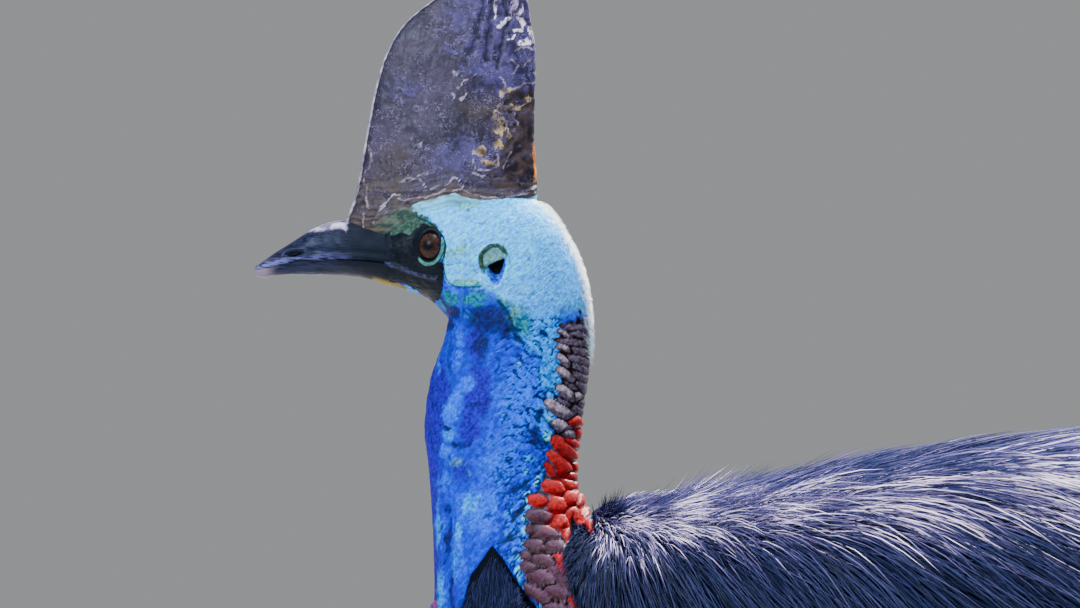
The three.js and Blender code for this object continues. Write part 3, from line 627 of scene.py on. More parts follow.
NAPE_SUNK = 1.3  # how far the skin between the folds of the nape lies below the plain form
NAPE_LAP = 7  # how far the red folds reach back over the foot of the nape

# Folds and bulbs of the nape: middle, half length, half width, slope and tone. The tones are
# numbered as the columns of nape_lumps.
DARK, BEIGE, RED, PURPLE = range(4)
# Height of each tone's lumps, in millimetres per pixel of half width
LUMP_RISE = (0.3, 0.46, 0.52, 0.58)
LUMPS = [
    (577, 328, 15, 3, 10, DARK),
    (566, 334, 8, 2.2, 24, BEIGE), (581, 334, 11, 3, 12, DARK), (575, 342, 16, 3.2, 6, DARK),
    (566, 348, 8, 3, 20, BEIGE), (581, 351, 11, 3.6, 16, DARK), (565, 361, 8, 3.4, 36, BEIGE),
    (580, 360, 12, 3.6, 20, DARK), (582, 368, 11, 3.6, 24, DARK), (567, 375, 9.5, 4, 40, BEIGE),
    (583, 377, 9, 4, 30, DARK), (572, 385, 10, 2.6, 36, DARK), (569, 393, 10.5, 4.2, 32, BEIGE),
    (583, 387, 8, 4, 34, DARK), (566, 402, 9, 3, 28, DARK), (579, 397, 7, 4, 40, BEIGE),
    (583, 402, 5, 4, 50, DARK), (578, 409, 9, 3.6, 28, DARK), (562, 410, 15, 4.8, 30, BEIGE),
    (563, 426, 10, 4.6, 30, BEIGE), (577, 422, 7, 4.6, 42, RED), (570, 433, 7, 4, 42, BEIGE),
    (580, 434, 6.5, 4, 70, RED), (573, 443, 8, 4.6, 50, RED), (566, 449, 15, 5.6, 42, RED),
    (562, 464, 15, 6, 45, RED), (550, 468, 7, 3.2, 70, RED), (576, 467, 6, 5, 60, RED),
    (556, 486, 11, 5.6, 16, RED), (569, 484, 8, 4.4, 10, RED), (572, 475, 7, 4, 20, RED),
    (541, 499, 10, 5.4, 8, RED), (557, 503, 12, 7, 14, RED), (571, 497, 6, 8, 10, RED),
    (573, 512, 7, 6, 60, RED), (580, 500, 4, 6, 0, RED), (583, 513, 5, 6, 20, RED),
    (579, 520, 4, 4, 30, RED),
    (588, 523, 5, 5.5, 30, RED), (541, 514, 12, 5.4, 6, PURPLE), (560, 521, 8, 7.6, 50, RED),
    (566, 531, 6.5, 4, 80, RED), (546, 530, 14, 5.6, 8, PURPLE), (531, 527, 4.6, 3.6, 60, PURPLE),
    (537, 542, 9.5, 5.2, 8, PURPLE), (554, 543, 10.5, 5.2, 0, PURPLE), (526, 552, 5, 4, 20, PURPLE),
    (543, 556, 10.5, 4.8, 6, PURPLE), (561, 559, 11, 4.2, 58, RED), (530, 564, 8, 4.6, 16, PURPLE),
    (541, 573, 11.5, 6.8, 24, PURPLE), (553, 566, 6, 4, 58, PURPLE), (562, 574, 9.5, 5, 24, PURPLE),
    (557, 586, 14, 6, 14, PURPLE), (537, 588, 12.5, 5.8, 24, PURPLE), (570, 593, 6, 4, 40, RED),
    (555, 603, 11, 6, 10, PURPLE), (571, 605, 7, 6, 20, PURPLE), (558, 618, 11, 6, 14, PURPLE),
    (573, 621, 6, 6.4, 10, RED), (561, 633, 9, 6, 10, PURPLE), (573, 637, 6, 6, 20, PURPLE),
    (566, 648, 9, 5.6, 12, PURPLE), (573, 661, 8, 5.6, 10, PURPLE),
]

# Patches of colour: middle, half width, half height, slope and strength
PATCHES = {
    "royal": [
        (478, 392, 17, 34, 0, 1), (470, 425, 13, 22, 0, 1), (462, 470, 16, 16, 0, 0.7),
        (440, 400, 10, 60, 0, 1),
        (438, 520, 9, 90, 0, 0.8), (476, 345, 12, 24, 0, 0.9), (487, 448, 8, 14, 0, 0.5),
        (455, 590, 6, 30, 0, 0.6),
    ],
    # Navy: dark blue skin, with painted shade under the cheek and the jaw and along the neck's
    # folds
    "navy": [
        (488, 318, 26, 17, 10, 1), (505, 330, 9, 12, 0, 0.9), (481, 345, 10, 20, 0, 0.8),
        (453, 312, 15, 8, 36, 1), (448, 325, 6, 10, 0, 0.8), (440, 302, 12, 5, 40, 1),
        (536, 434, 7, 14, -12, 0.9), (447, 428, 6, 3, 0, 0.8), (478, 405, 12, 5, -20, 0.7),
        (460, 443, 14, 4, 0, 0.7), (449, 506, 4, 6, 0, 0.8), (449, 540, 2.5, 30, 6, 0.9),
        (453, 590, 4, 24, 0, 0.8), (512, 488, 12, 3, -38, 0.9), (520, 510, 12, 3, -50, 0.8),
        (510, 538, 12, 2.5, -25, 0.8), (451, 360, 3.5, 30, 0, 0.6), (466, 470, 7, 4, 0, 0.5),
    ],
    "azure": [
        (460, 334, 4.5, 4.5, 0, 1), (460, 344, 4.5, 4, 0, 1), (459.5, 354, 5, 4.5, 0, 1),
        (459.5, 365, 4.5, 4, 0, 1), (466, 383, 11, 8, -45, 1), (456, 397, 10, 9, -40, 1),
        (450, 413, 9, 13, 0, 1), (449, 433, 7, 12, 0, 1), (446, 450, 9, 8, 0, 1),
        (439, 365, 3, 20, 8, 0.6), (497, 322, 10, 8, 0, 0.8), (470, 314, 9, 7, -20, 0.9),
        (530, 400, 38, 46, 0, 1), (500, 460, 24, 40, 0, 0.7), (480, 510, 24, 26, 0, 0.9),
        (520, 520, 18, 36, 0, 0.8), (445, 480, 10, 14, 0, 0.6), (440, 520, 5, 40, 0, 0.8),
        (443, 590, 5, 30, 0, 0.8), (460, 560, 8, 24, 0, 0.7), (452, 293, 8, 8, 20, 1),
    ],
    "cyan": [
        (417, 288, 14, 6, 22, 1),
        (542, 330, 26, 30, 0, 1), (552, 372, 14, 36, 0, 1), (545, 410, 12, 22, 30, 0.7),
        (468, 502, 4, 15, 14, 1), (475, 503, 3.4, 13, 22, 0.9),
        (459.5, 530, 3.6, 11, 0, 1), (441.5, 530, 3, 22, 0, 0.8), (442, 590, 3.6, 24, 0, 0.9),
        (458, 560, 2.4, 26, 0, 0.6), (508, 510, 7, 5, -30, 0.7), (508, 531, 7, 4, -20, 0.8),
        (530, 458, 7, 4.5, 0, 0.8), (527, 470, 4, 6, 0, 0.7), (513, 555, 7, 8, 40, 0.7),
        (520, 579, 7, 5, 40, 0.8), (514, 437, 6, 12, 0, 0.4), (505, 408, 4, 14, 10, 0.5),
        (478, 296, 14, 7, 0, 0.5), (451, 412, 4, 10, -20, 0.5), (450, 434, 5, 7, 0, 0.6),
        (538, 601, 3.4, 6, 0, 1), (541, 468, 4, 6, 0, 0.8),
    ],
    # Sea: teal skin, darkened as painted shade under the cheek and the jaw
    "sea": [
        (512, 300, 17, 12, 30, 1), (522, 322, 11, 20, 0, 0.9), (476, 298, 16, 9, 0, 0.8),
        (450, 297, 13, 9, 20, 0.8), (455, 254, 12, 8, 0, 0.4), (440, 306, 10, 4, 40, 0.6),
        (470, 318, 9, 6, 0, 0.4),
    ],
    "moss": [(508, 297, 14, 9, 35, 0.9), (513, 312, 6, 12, 10, 0.9), (503, 286, 9, 6, 30, 0.6)],
    "pale_green": [
        (520, 364, 4, 6, 0, 0.6),
        (460, 203, 30, 6, 3, 0.9), (466, 283, 17, 4.2, 2, 1), (459, 253, 19, 8, -4, 0.75),
    ],
    "grey_blue": [(456, 462, 11, 5, 4, 0.9), (469, 472, 3, 9, -30, 0.7)],
    "nodule": [
        (538, 479, 4, 6.5, 30, 1), (528, 495, 4, 7, 10, 1), (528, 505, 3.4, 4.4, 0, 0.8),
        (525, 516, 4, 6, -20, 1), (524.5, 528, 3.6, 6.5, -10, 1), (525, 541, 4, 5.4, 0, 1),
        (520, 553, 5.4, 5.4, 0, 1), (519, 568, 4.4, 7.6, -8, 1), (526, 587, 3.4, 7, -20, 0.9),
        (548, 435, 6, 7, 0, 1), (549, 418, 6, 8, 30, 0.7), (553, 403, 5, 6, 0, 0.7),
    ],
}

# Lines sunk into the skin: course, depth in millimetres, half width in millimetres and darkness,
# which is painted shade along the fold, and on the brow line partly the brow's own dark colour
SKIN_LINES = [
    (CHEEK_FOLD, 1.9, 1.5, 0.65), (JAW_FOLD, 2.2, 1.9, 0.8), (BROW_LINE, 0.8, 0.9, 0.9),
    (photo((443, 264.5), (452, 264.5), (464, 262.5)), 0.6, 0.8, 0.6),
    (photo((547, 400), (552, 411), (561, 417), (572, 424)), 1.6, 1.1, 1),
    (photo((542, 414), (547, 421), (554, 428), (562, 430)), 1.4, 1.1, 0.9),
    (photo((558, 389), (565, 398), (574, 405)), 1.4, 1.1, 1),
    (photo((552, 380), (557, 387), (561, 394)), 1.2, 1.0, 0.8),
    (photo((557, 362), (566, 369), (577, 378), (582, 385)), 1.2, 1.1, 1),
    (photo((539, 396), (546, 401), (549, 406)), 1.0, 1.0, 0.8),
    (photo((545, 362), (550, 371), (551, 380)), 0.9, 0.9, 0.6),
    (photo((532, 355), (540, 360), (546, 368)), 0.9, 0.9, 0.6),
    (photo((528, 370), (536, 379), (544, 390)), 0.8, 0.9, 0.6),
    (photo((540, 434), (545, 441), (552, 449)), 1.2, 1.1, 0.9),
    (photo((531, 440), (536, 446), (541, 450)), 0.9, 1.0, 0.7),
    (photo((546, 470), (552, 474), (560, 478)), 1.2, 1.1, 0.9),
    (photo((514, 492), (523, 484), (532, 477)), 1.0, 1.0, 0.9),
    (photo((511, 520), (520, 510), (526, 503)), 1.0, 1.0, 0.9),
    (photo((497, 541), (508, 537), (520, 528)), 0.9, 1.0, 0.9),
    (photo((486, 541), (498, 530), (508, 520)), 0.5, 0.9, 0.5),
]
# Swellings of the head: height in millimetres, then middle in pixels, radii in millimetres and turn
SWELLINGS = [
    (1.0, (452, 254), (15, 5), 0.1), (1.6, (470, 300), (13, 9), 0), (2.0, (497, 322), (8, 8), 0),
    (1.5, (469, 315), (7, 6), 0), (-1.6, (481, 326), (7, 9), 0), (1.5, (430, 222), (13, 5), -0.7),
]
# Soft spots of colour and relief: middle in pixels, radii in millimetres and turn
SPOTS = {
    "nape_shade": ((530, 285), (26, 8), 0.1),
    "teal_brow": ((404, 214), (11, 3.4), 0.1),
    "mouth_corner": ((437, 265), (7, 3.5), 0),
    "eye_corner": ((424, 228), (4, 3), 0),
    "nostril_groove": ((316, 247), (5, 9), -0.35),
    "blue_foot": ((468, 156), (34, 16), 0.1),
    "blue_front": ((405, 90), (20, 12), 0),
    "brown_foot": ((395, 175), (18, 26), 0),
    "brown_rear": ((480, 112), (20, 10), 0),
}
# Soft borders: the pixels, across or down the photo, between which something sets in
BORDERS = {
    "neck_wrinkles": (492, 522),
    "cheek_wrinkles": (262, 290),
    "neck_way": (296, 316),
    "throat_strands": (470, 506),
    "beads": (326, 332),
    "beads_end": (350, 376),
    "neck_rear": (485, 530),
    "rear_creases": (480, 525),
    "neck": (302, 326),
    "neck_colours": (300, 330),
    "band": (300, 312),
    "band_colours": (308, 336),
    "low_neck": (425, 470),
    "low_rear": (470, 520),
    "head_creases": (446, 470),
    "throat_front": (432, 444),
    "lower_head": (640, 690),
    "gape": (372, 392),
    "nape_edge": (574, 588),
    "red": (430, 450),
    "red_end": (520, 535),
    "red_grooves": (425, 445),
    "red_grooves_end": (515, 530),
    "casque_rear": (505, 530),
    "casque_rear_top": (82, 100),
    "casque_rear_foot": (186, 196),
    "rim_foot": (5, 40),
    "rim_end": (370, 420),
    "blue_and_sheen": (410, 478),
    "blue_end": (84, 110),
    "amber": (134, 150),
    "amber_end": (174, 188),
    "casque_skin": (398, 412),
    "bill_tip": (264, 280),
    "bill_rear": (318, 366),
    "bristles": (530, 545),
    "bristles_top": (198, 206),
    "bristles_end": (310, 375),
}
# Strands of the throat: the pixel across at which each starts, how far it slants, and its heights
THROAT_STRANDS = ((442, 0.0), (459, -3.0))
THROAT_ROWS = (470, 520, 640)
ROYAL_ROW = 430  # the throat's dark front edge leans about this pixel down
# Noise drawn out into wrinkles: length, size in millimetres, and seed
WRINKLES = (10, 2.7, 31)
FINE_WRINKLES = (4, 1.9, 35)
# The width of the painted sunlit highlight down the back of the head in millimetres, by pixels down
SUNLIT = ((190, 205, 230, 300, 330, 380), (8, 11, 11, 4.5, 2.0, 0.6))
# The way of the wrinkles at the back of the neck in radians, by pixels down
REAR_WAY = ((310, 335, 410, 445, 480, 520), (0.1, -0.65, -0.85, -0.5, 0.5, 0.85))
LID_REACH = 2.2  # how far from the eye's middle its lids are worked out, as for the next line
EYE_LID = (1.14, 1.36)  # the pale-green lid lies between these distances from the eye's middle


def nape_line(z):
    """The x of the back of the neck at heights z."""
    rows = between(HEAD_NECK, np.linspace(0.3, 1, 200))
    return np.interp(z, rows[::-1, 1], rows[::-1, 0])


def band_place(x, z):
    """0 at the nape, or at the feathers' edge lower down, to 1 at the front of the red band."""
    front = line_x(z, BAND_LEFT)
    back = lerp(line_x(z, BAND_RIGHT), nape_line(z), smoothstep(z, 988, 1012))
    place = (back - x) / np.maximum(back - front, 4)
    return np.where(x - back > NAPE_LAP, 4.0, np.clip(place, 0, 4))


def pixels(x, z):
    """Spots of the middle plane in pixels of the photo."""
    return x / MM_PER_PIXEL + PHOTO_NAPE[0], PHOTO_NAPE[1] - (z - NAPE_HEIGHT) / MM_PER_PIXEL


def tilted(px, py, middle_x, middle_y, slope):
    """Pixels along and across a slope from a middle."""
    c, s = math.cos(math.radians(slope)), math.sin(math.radians(slope))
    dx, dy = px - middle_x, py - middle_y
    return dx * c + dy * s, dy * c - dx * s


def nape_lumps(points):
    """Height of the folds and bulbs in millimetres, how far a spot lies on a fold's upper side,
    where a painted highlight from above goes, and how much of each tone there is.
    """
    px, py = pixels(points[:, 0], points[:, 2])
    px = px + 1.3 * noise(points, 6, 41, 2)
    py = py + 1.1 * noise(points, 6, 42, 2)
    nearest, second = np.full(len(px), 9.0), np.full(len(px), 9.0)
    bulge, top_light, end = np.zeros((3, len(px)))
    kind = np.zeros(len(px), int)
    for middle_x, middle_y, long, wide, slope, tone in LUMPS:
        u, v = tilted(px, py, middle_x, middle_y, slope)
        near = (np.abs(u / long) ** 2.6 + np.abs(v / wide) ** 2.6) ** (1 / 2.6)
        closer = near < nearest
        second = np.where(closer, nearest, np.minimum(second, near))
        nearest = np.where(closer, near, nearest)
        bulge = np.where(closer, wide * LUMP_RISE[tone], bulge)
        # The upper side of each fold is marked for a painted highlight, as if lit from above
        top_light = np.where(closer, 0.5 - 0.42 * v / wide, top_light)
        end = np.where(closer, u / long, end)
        kind = np.where(closer, tone, kind)
    gap = second - nearest
    body = np.sqrt(np.clip(1 - (nearest / 1.34) ** 2.4, 0, 1))
    body = body * smoothstep(gap, -0.1, 0.7) ** 0.7 * smoothstep(gap, 0, 0.12)
    tones = np.zeros((len(px), 4))
    tones[np.arange(len(px)), kind] = smoothstep(body, 0.1, 0.4)
    tones[:, BEIGE] *= 1 - smoothstep(end, -0.2, 1.0)
    return bulge * body, top_light, tones


def patches(table, px, py, fall=1.1, power=1.4):
    """How strongly a spot belongs to any patch of a table."""
    total = np.zeros(len(px))
    for middle_x, middle_y, wide, high, slope, *strength in table:
        u, v = tilted(px, py, middle_x, middle_y, slope)
        near = np.exp(-fall * ((u / wide) ** 2 + (v / high) ** 2) ** power)
        total = np.maximum(total, math.prod(strength) * near)
    return total


def sets_in(pixel, border):
    """0 to 1 across one of the soft borders."""
    return smoothstep(pixel, *BORDERS[border])


def ends(pixel, border):
    """1 to 0 across one of the soft borders."""
    return 1 - sets_in(pixel, border)


def heading(px, py):
    """The way the skin's wrinkles run, in radians above the way to the back of the head."""
    neck = lerp(0.98, np.interp(py, *REAR_WAY), sets_in(px, "neck_wrinkles"))
    head = lerp(0.66, 0.2, sets_in(py, "cheek_wrinkles"))
    return lerp(head, neck, sets_in(py, "neck_way"))


def strokes(points, way, length, size, seed):
    """Noise drawn out along a way in the plane of the photo, about -1 to 1."""
    step = np.stack([np.cos(way), 0 * way, np.sin(way)], -1) * length
    reach = np.linspace(-0.5, 0.5, 7)
    return 2 * sum(noise(points + step * k, size, seed) for k in reach) / len(reach)


def feather_cover(x, z):
    """1 where plumage grows on the neck and the front of the trunk, 0 on the bare skin."""
    flank = smoothstep(x - line_x(z, FEATHER_LEFT), -1, 1.5)
    flank = flank * smoothstep(line_x(z, FEATHER_RIGHT) - x, -1, 1.5)
    flank = flank * smoothstep(FEATHER_LEFT[0][1] - z, -1, 1)
    edge = NAPE_FEATHERS - 0.9 * np.clip(x + 12, 0, 14)
    rear = smoothstep(x - line_x(z, BAND_RIGHT), -1, 1.5) * smoothstep(edge - z, -4, 3)
    low = smoothstep(NAPE_FEATHERS + 8 - z, -3, 3)
    back = np.maximum(smoothstep(x, 3, 7), smoothstep(x, 1, 4) * low)
    return np.clip(flank + rear + back + smoothstep(BARE_FOOT - z, -3, 6), 0, 1)


def eye_radius(x, z):
    """Distance from the middle of the eye, 1 at the edge of its opening, and the direction."""
    dx, dz = x - EYE["x"], z - EYE["z"]
    u = dx * math.cos(EYE["tilt"]) - dz * math.sin(EYE["tilt"])
    v = dz * math.cos(EYE["tilt"]) + dx * math.sin(EYE["tilt"])
    return np.hypot(u / EYE["wide"], v / EYE["high"]), np.arctan2(v, u)


def eye_centre(side):
    """The middle of an eyeball, and the way it looks."""
    share, angle = locate(EYE["x"], EYE["z"])
    point, normal, _, _ = surface(HEAD_NECK, share, angle, float(side))
    return (point - normal * EYE["inset"])[0], normal[0]


def lid_lift(points, normals, radius, side):
    """How far the lids stand over the skin, draped on the eyeball."""
    centre = np.where((side < 0)[:, None], eye_centre(-1)[0], eye_centre(1)[0])
    offset = points - centre
    along = np.sum(offset * normals, axis=1)
    beyond = np.sum(offset**2, axis=1) - EYE["radius"] ** 2
    ball = -along + np.sqrt(np.clip(along**2 - beyond, 0, None))
    roll = 1.7 * np.sqrt(smoothstep(radius, 0.96, 1.12)) * (1 - 0.75 * smoothstep(radius, 1.2, 1.5))
    return (np.maximum(ball, 0) + roll) * (1 - smoothstep(radius, 1.35, 1.95))


def ear_relief(x, z):
    """The ear: a rim, a sunken cup, a flap over its upper half and the hole under the flap."""
    rim = line_distance(x, z, EAR_RIM)
    within = inside(x, z, EAR_EDGE, 0.8)
    upper = smoothstep(z, EAR[1] - 6, EAR[1] + 8)
    lift = (0.5 + 1.2 * upper) * bell((rim - 0.6 * (1 - within)) / 1.3)
    depth = smoothstep(rim, 0, 5) * within
    flap = inside(x, z, EAR_PLATE, 0.7)
    lift -= depth * lerp(5.0, 1.6, flap)
    return lift - 5.0 * inside(x, z, EAR_HOLE, 0.8)


def skin_relief(points, normals, side):
    """How far the bare skin of head and neck stands out from the plain form, in millimetres."""
    x, z = points[:, 0], points[:, 2]
    px, py = pixels(x, z)
    bare = 1 - feather_cover(x, z)
    lift = 0.35 * noise(points, 9, 1, 2) + 0.12 * noise(points, 3, 2, 2)
    # Cheek and jaw
    above = smoothstep(z - np.interp(x, CHEEK_FOLD[:, 0], CHEEK_FOLD[:, 1]), -1.2, 1.2)
    fold = line_distance(x, z, CHEEK_FOLD)
    lift += 3.0 * bell(fold / 7.5) * above * smoothstep(x, CHEEK_FOLD[0][0] - 1, -99)
    for height, *place in SWELLINGS:
        lift += height * spot(x, z, *place)
    lift += ear_relief(x, z)
    for line, depth, wide, _ in SKIN_LINES:
        lift -= depth * bell(line_distance(x, z, line) / wide)
    # The edge of the bill's sheath carried on over the black skin to the corner of the mouth
    gape = line_distance(x, z, GAPE_EDGE)
    lift += 1.3 * bell(gape / 1.6) * smoothstep(x, GAPE_EDGE[0][0], GAPE_EDGE[0][0] + 6)
    # Throat: two strands down each side towards the wattles, and a row of beads
    top, middle, foot = THROAT_ROWS
    for start, slant in THROAT_STRANDS:
        line = photo((start, top), (start + slant * 0.3, middle), (start + slant, foot))
        near = bell(line_distance(x, z, line) / 3.2)
        lift += 2.4 * near * sets_in(py, "throat_strands")
    lift += 0.8 * patches(PATCHES["azure"], px, py) * ends(py, "beads_end") * sets_in(py, "beads")
    lift += 0.7 * patches(PATCHES["nodule"], px, py) + 0.7 * patches(PATCHES["grey_blue"], px, py)
    # Wrinkles, and pits between their nets
    way = heading(px, py)
    rear = sets_in(px, "neck_rear")
    net = strokes(points, way, *WRINKLES)
    neck = sets_in(py, "neck")
    deep = lerp(0.3, lerp(0.45, 0.95, rear), neck) * smoothstep(band_place(x, z), 0.98, 1.1)
    lift -= deep * bell(net / 0.2) * smoothstep(line_distance(x, z, EAR_RIM), 1, 5)
    # Nape
    height, _, _ = nape_lumps(points)
    band = (1 - smoothstep(band_place(x, z), 0.96, 1.1)) * sets_in(py, "band")
    band = np.maximum(band, smoothstep(height, 0.1, 0.9))
    lift = lerp(lift, height - NAPE_SUNK, band)
    lift = lift * bare
    # Eye: the socket under the ball, then the lids
    radius, _ = eye_radius(x, z)
    near = radius < LID_REACH
    lids = np.zeros_like(x)
    lids[near] = lid_lift(points[near], normals[near], radius[near], side[near])
    lift = np.where(near, lerp(lids, lift, smoothstep(radius, 1.3, 2.0)), lift)
    return np.where(radius < 1.0, -11.0 * smoothstep(1.0 - radius, -0.02, 0.2), lift)


def skin_masks(points):
    """Where each colour of the bare skin lies, from 0 to 1, by name."""
    x, z = points[:, 0], points[:, 2]
    px, py = pixels(x, z)
    way = heading(px, py)
    brush = strokes(points, way, 7, 2.4, 33)
    rough = noise(points, 11, 11, 2)
    wide_x, wide_y = px + 2.2 * brush + 2 * rough, py + 2 * brush - 2 * rough
    height, top_light, tones = nape_lumps(points)
    place = band_place(x, z)
    band = (1 - smoothstep(place, 0.97, 1.06)) * sets_in(py + 17 * brush, "band_colours")
    band = np.maximum(band, smoothstep(height, 0.05, 0.5))
    rest = band * (1 - smoothstep(place, 0.6, 0.75))
    net = bell(strokes(points, way, *WRINKLES) / 0.16)
    fine_net = bell(strokes(points, way + 0.5, *FINE_WRINKLES) / 0.2)
    rear = sets_in(px, "rear_creases")
    neck = sets_in(py, "neck_colours")
    low = sets_in(py, "low_neck") * sets_in(px, "low_rear")
    # Crease: painted shade in the nets of wrinkles
    crease = neck * np.maximum(net * lerp(0.5, 0.95, rear), fine_net * lerp(0.3, 0.9, low))
    crease = np.maximum(crease, 0.3 * fine_net * (1 - neck) * sets_in(py, "cheek_wrinkles"))
    crease = np.maximum(crease, 0.43 * net * (1 - neck) * sets_in(px, "head_creases"))
    # Painted shade along the sunk lines
    lines = np.zeros(len(px))
    for line, _, wide, dark in SKIN_LINES:
        lines = np.maximum(lines, dark * bell(line_distance(x, z, line) / (0.9 * wide)))
    eye, eye_way = eye_radius(x, z)
    lid_side = smoothstep(np.cos(eye_way + 0.75), -0.1, 0.5)
    lid_in, lid_out = EYE_LID
    lid = smoothstep(eye, lid_in - 0.04, lid_in + 0.06) - smoothstep(eye, lid_out, lid_out + 0.1)
    ear_rim = line_distance(x, z, EAR_RIM)
    ear_upper = smoothstep(z - 0.7 * (x - EAR[0]), EAR[1] - 8, EAR[1] + 6)
    ear_in = inside(x, z, EAR_EDGE, 0.8)
    plate = inside(x, z, EAR_PLATE, 0.7)
    sunlit = np.interp(py, *SUNLIT)
    rear_rim = line_distance(x, z, HEAD_REAR) + 2.2 * brush + 2 * noise(points, 3, 47)
    throat = ends(px - 0.04 * (py - ROYAL_ROW) + 2 * rough, "throat_front")
    masks = {name: patches(table, wide_x, wide_y) for name, table in PATCHES.items()}
    masks |= {
        "royal": np.maximum(masks["royal"], throat),
        "pale": inside(x + 2 * rough, z - 2 * rough + brush, HEAD_EDGE, 5.0),
        "shaded": 0.7 * sets_in(px + 0.5 * py + 8 * rough, "lower_head") * (1 - neck)
        + 0.5 * spot(x, z, *SPOTS["nape_shade"]),
        # Gape: a painted highlight along the edge of the bill's sheath at the mouth
        "gape": bell(line_distance(x, z, GAPE_EDGE) / 1.7) * 0.55 * sets_in(px, "gape"),
        "sunlit": 1 - smoothstep(rear_rim, 0.3 * sunlit, sunlit),
        "nodule": patches(PATCHES["nodule"], px, py),
        "crease": crease,
        "lines": lines,
        "olive": inside(x, z, OLIVE_BROW, 5.0),
        "teal_brow": spot(x, z, *SPOTS["teal_brow"]),
        "ear_dark": bell((ear_rim - 0.6) / 1.2) * ear_upper
        + 0.6 * ear_in * (1 - plate) * ear_upper,
        "ear_plate": plate * smoothstep(ear_rim, 0.8, 2.6),
        "ear_blue": ear_in * (1 - plate) * (1 - ear_upper) * smoothstep(ear_rim, 0.3, 2.5),
        "band": band,
        # Beige is the folds' own colour, but kept to their upper sides as a painted light from
        # above
        "beige": tones[:, BEIGE] * smoothstep(top_light, 0.12, 0.5) * ends(px + 6 * rough, "nape_edge"),
        "red": np.maximum(tones[:, RED], rest * sets_in(py, "red") * ends(py, "red_end")),
        "purple": tones[:, PURPLE],
        # Painted highlight on the upper sides of the nape's folds
        "top_light": top_light * smoothstep(height, 0.4, 2.2),
        # Groove: painted shade in the low skin between the nape's folds, lighter in the red part
        "groove": band * (1 - smoothstep(height, 0.15, 1.1))
        * (1 - 0.5 * sets_in(py, "red_grooves") * ends(py, "red_grooves_end")),
        "black": np.clip(
            inside(x, z, BLACK_SKIN, 2.0) + (1 - smoothstep(eye, 1.06, 1.2))
            + (1 - smoothstep(eye, 1.1, 1.5)) * (1 - lid_side)
            + spot(x, z, *SPOTS["mouth_corner"]) + spot(x, z, *SPOTS["eye_corner"]), 0, 1,
        ),
        "lid": lid * lid_side,
        "lid_line": bell((eye - lid_out - 0.09) / 0.05) * lid_side,
        "yellow": inside(x, z, YELLOW_PATCH, 1.6),
        # Hole: near-black painted shade in the ear's opening
        "hole": inside(x, z, EAR_HOLE, 0.9),
        "feathered": feather_cover(x, z),
    }
    return {name: np.clip(mask, 0, 1) for name, mask in masks.items()}


# Trunk and the lie of its plumage


def coat_depth(share):
    """How thick the plumage lies on the trunk: thin at the nape and the tip of the tail."""
    deepening = lerp(10, COAT_DEPTH, smoothstep(share, 0, 0.24))
    return deepening * (1 - 0.85 * smoothstep(share, 0.85, 1))


def lie(share, angle, side):
    """The way the plumage lies: back from the spine, down the flanks, breast and rump."""
    flank = lerp(2.6, 1.15, smoothstep(share, 0.03, 0.42)) * smoothstep(angle, 0.1, 0.9)
    below = lerp(1.35, 0.75, smoothstep(share, 0, 0.45)) + 0.9 * smoothstep(share, 0.7, 1)
    down = lerp(flank, below, smoothstep(angle, 1.2, 2.0))
    breast = smoothstep(angle, 2, 3) * (1 - smoothstep(share, 0.1, 0.4))
    parting = 0.45 * smoothstep(angle, 0, 0.35) * (1 - smoothstep(angle, 0.35, 1.1))
    return np.stack([1 - 0.75 * breast, side * parting, -down], -1)


# Skin: one mesh from the face to the rump, with the thighs and the strips of the lids

NECK_COLUMNS = 256
NECK_STEP = 1.15
TRUNK_STEP = 14
UNDER_PLUMAGE = (600.0, 0.0, 500.0)  # a place well inside the feathered trunk
THIGH_RINGS = 40  # rings of a thigh, and points of each ring


def even_shares(table, step, angles=(0.0, math.pi / 2, math.pi)):
    """Shares of a table whose rows are a step apart where they lie widest apart."""
    shares = np.linspace(0, 1, 900)
    lines = [oval_point(table, shares, angle, 1.0) for angle in angles]
    lengths = np.max([np.linalg.norm(np.diff(line, axis=0), axis=1) for line in lines], axis=0)
    total = np.concatenate([[0], np.cumsum(lengths)])
    return np.interp(np.linspace(0, total[-1], int(total[-1] / step) + 1), total, shares)


def around(columns):
    """Angles from the back and sides of a ring of columns."""
    turn = np.linspace(0, 2 * math.pi, columns, endpoint=False)
    side = np.where(turn <= math.pi, 1.0, -1.0)
    return np.where(side > 0, turn, 2 * math.pi - turn), side


def ringed(table, shares, columns):
    """Surface points, normals, shares, angles and sides of a grid of rings."""
    angle, side = around(columns)
    share = np.repeat(shares, columns)
    angle, side = np.tile(angle, len(shares)), np.tile(side, len(shares))
    point, normal, _, _ = surface(table, share, angle, side)
    return point, normal, share, angle, side


def lid_strip(side):
    """A fine strip of skin round an eye, from inside its opening to under the skin outside."""
    turns, rows = 120, 22
    radius, way = ring_grid(rows, turns, 0.93, 1.9)
    u, v = radius * EYE["wide"] * np.cos(way), radius * EYE["high"] * np.sin(way)
    x = EYE["x"] + u * math.cos(EYE["tilt"]) + v * math.sin(EYE["tilt"])
    z = EYE["z"] + v * math.cos(EYE["tilt"]) - u * math.sin(EYE["tilt"])
    share, angle = locate(x, z)
    sides = np.full(len(x), float(side))
    point, normal, _, _ = surface(HEAD_NECK, share, angle, sides)
    lift = lid_lift(point, normal, radius, sides)
    outer = smoothstep(radius, 1.3, 1.9)
    relief = skin_relief(point, normal, sides)
    lift = lerp(lift + 0.12, relief - 0.5 * smoothstep(radius, 1.7, 1.9), outer)
    lift = np.where(radius < 1.0, lift - 3.5 * (1.0 - radius) / 0.07, lift)
    return point + normal * lift[:, None], point, grid_faces(rows, turns)


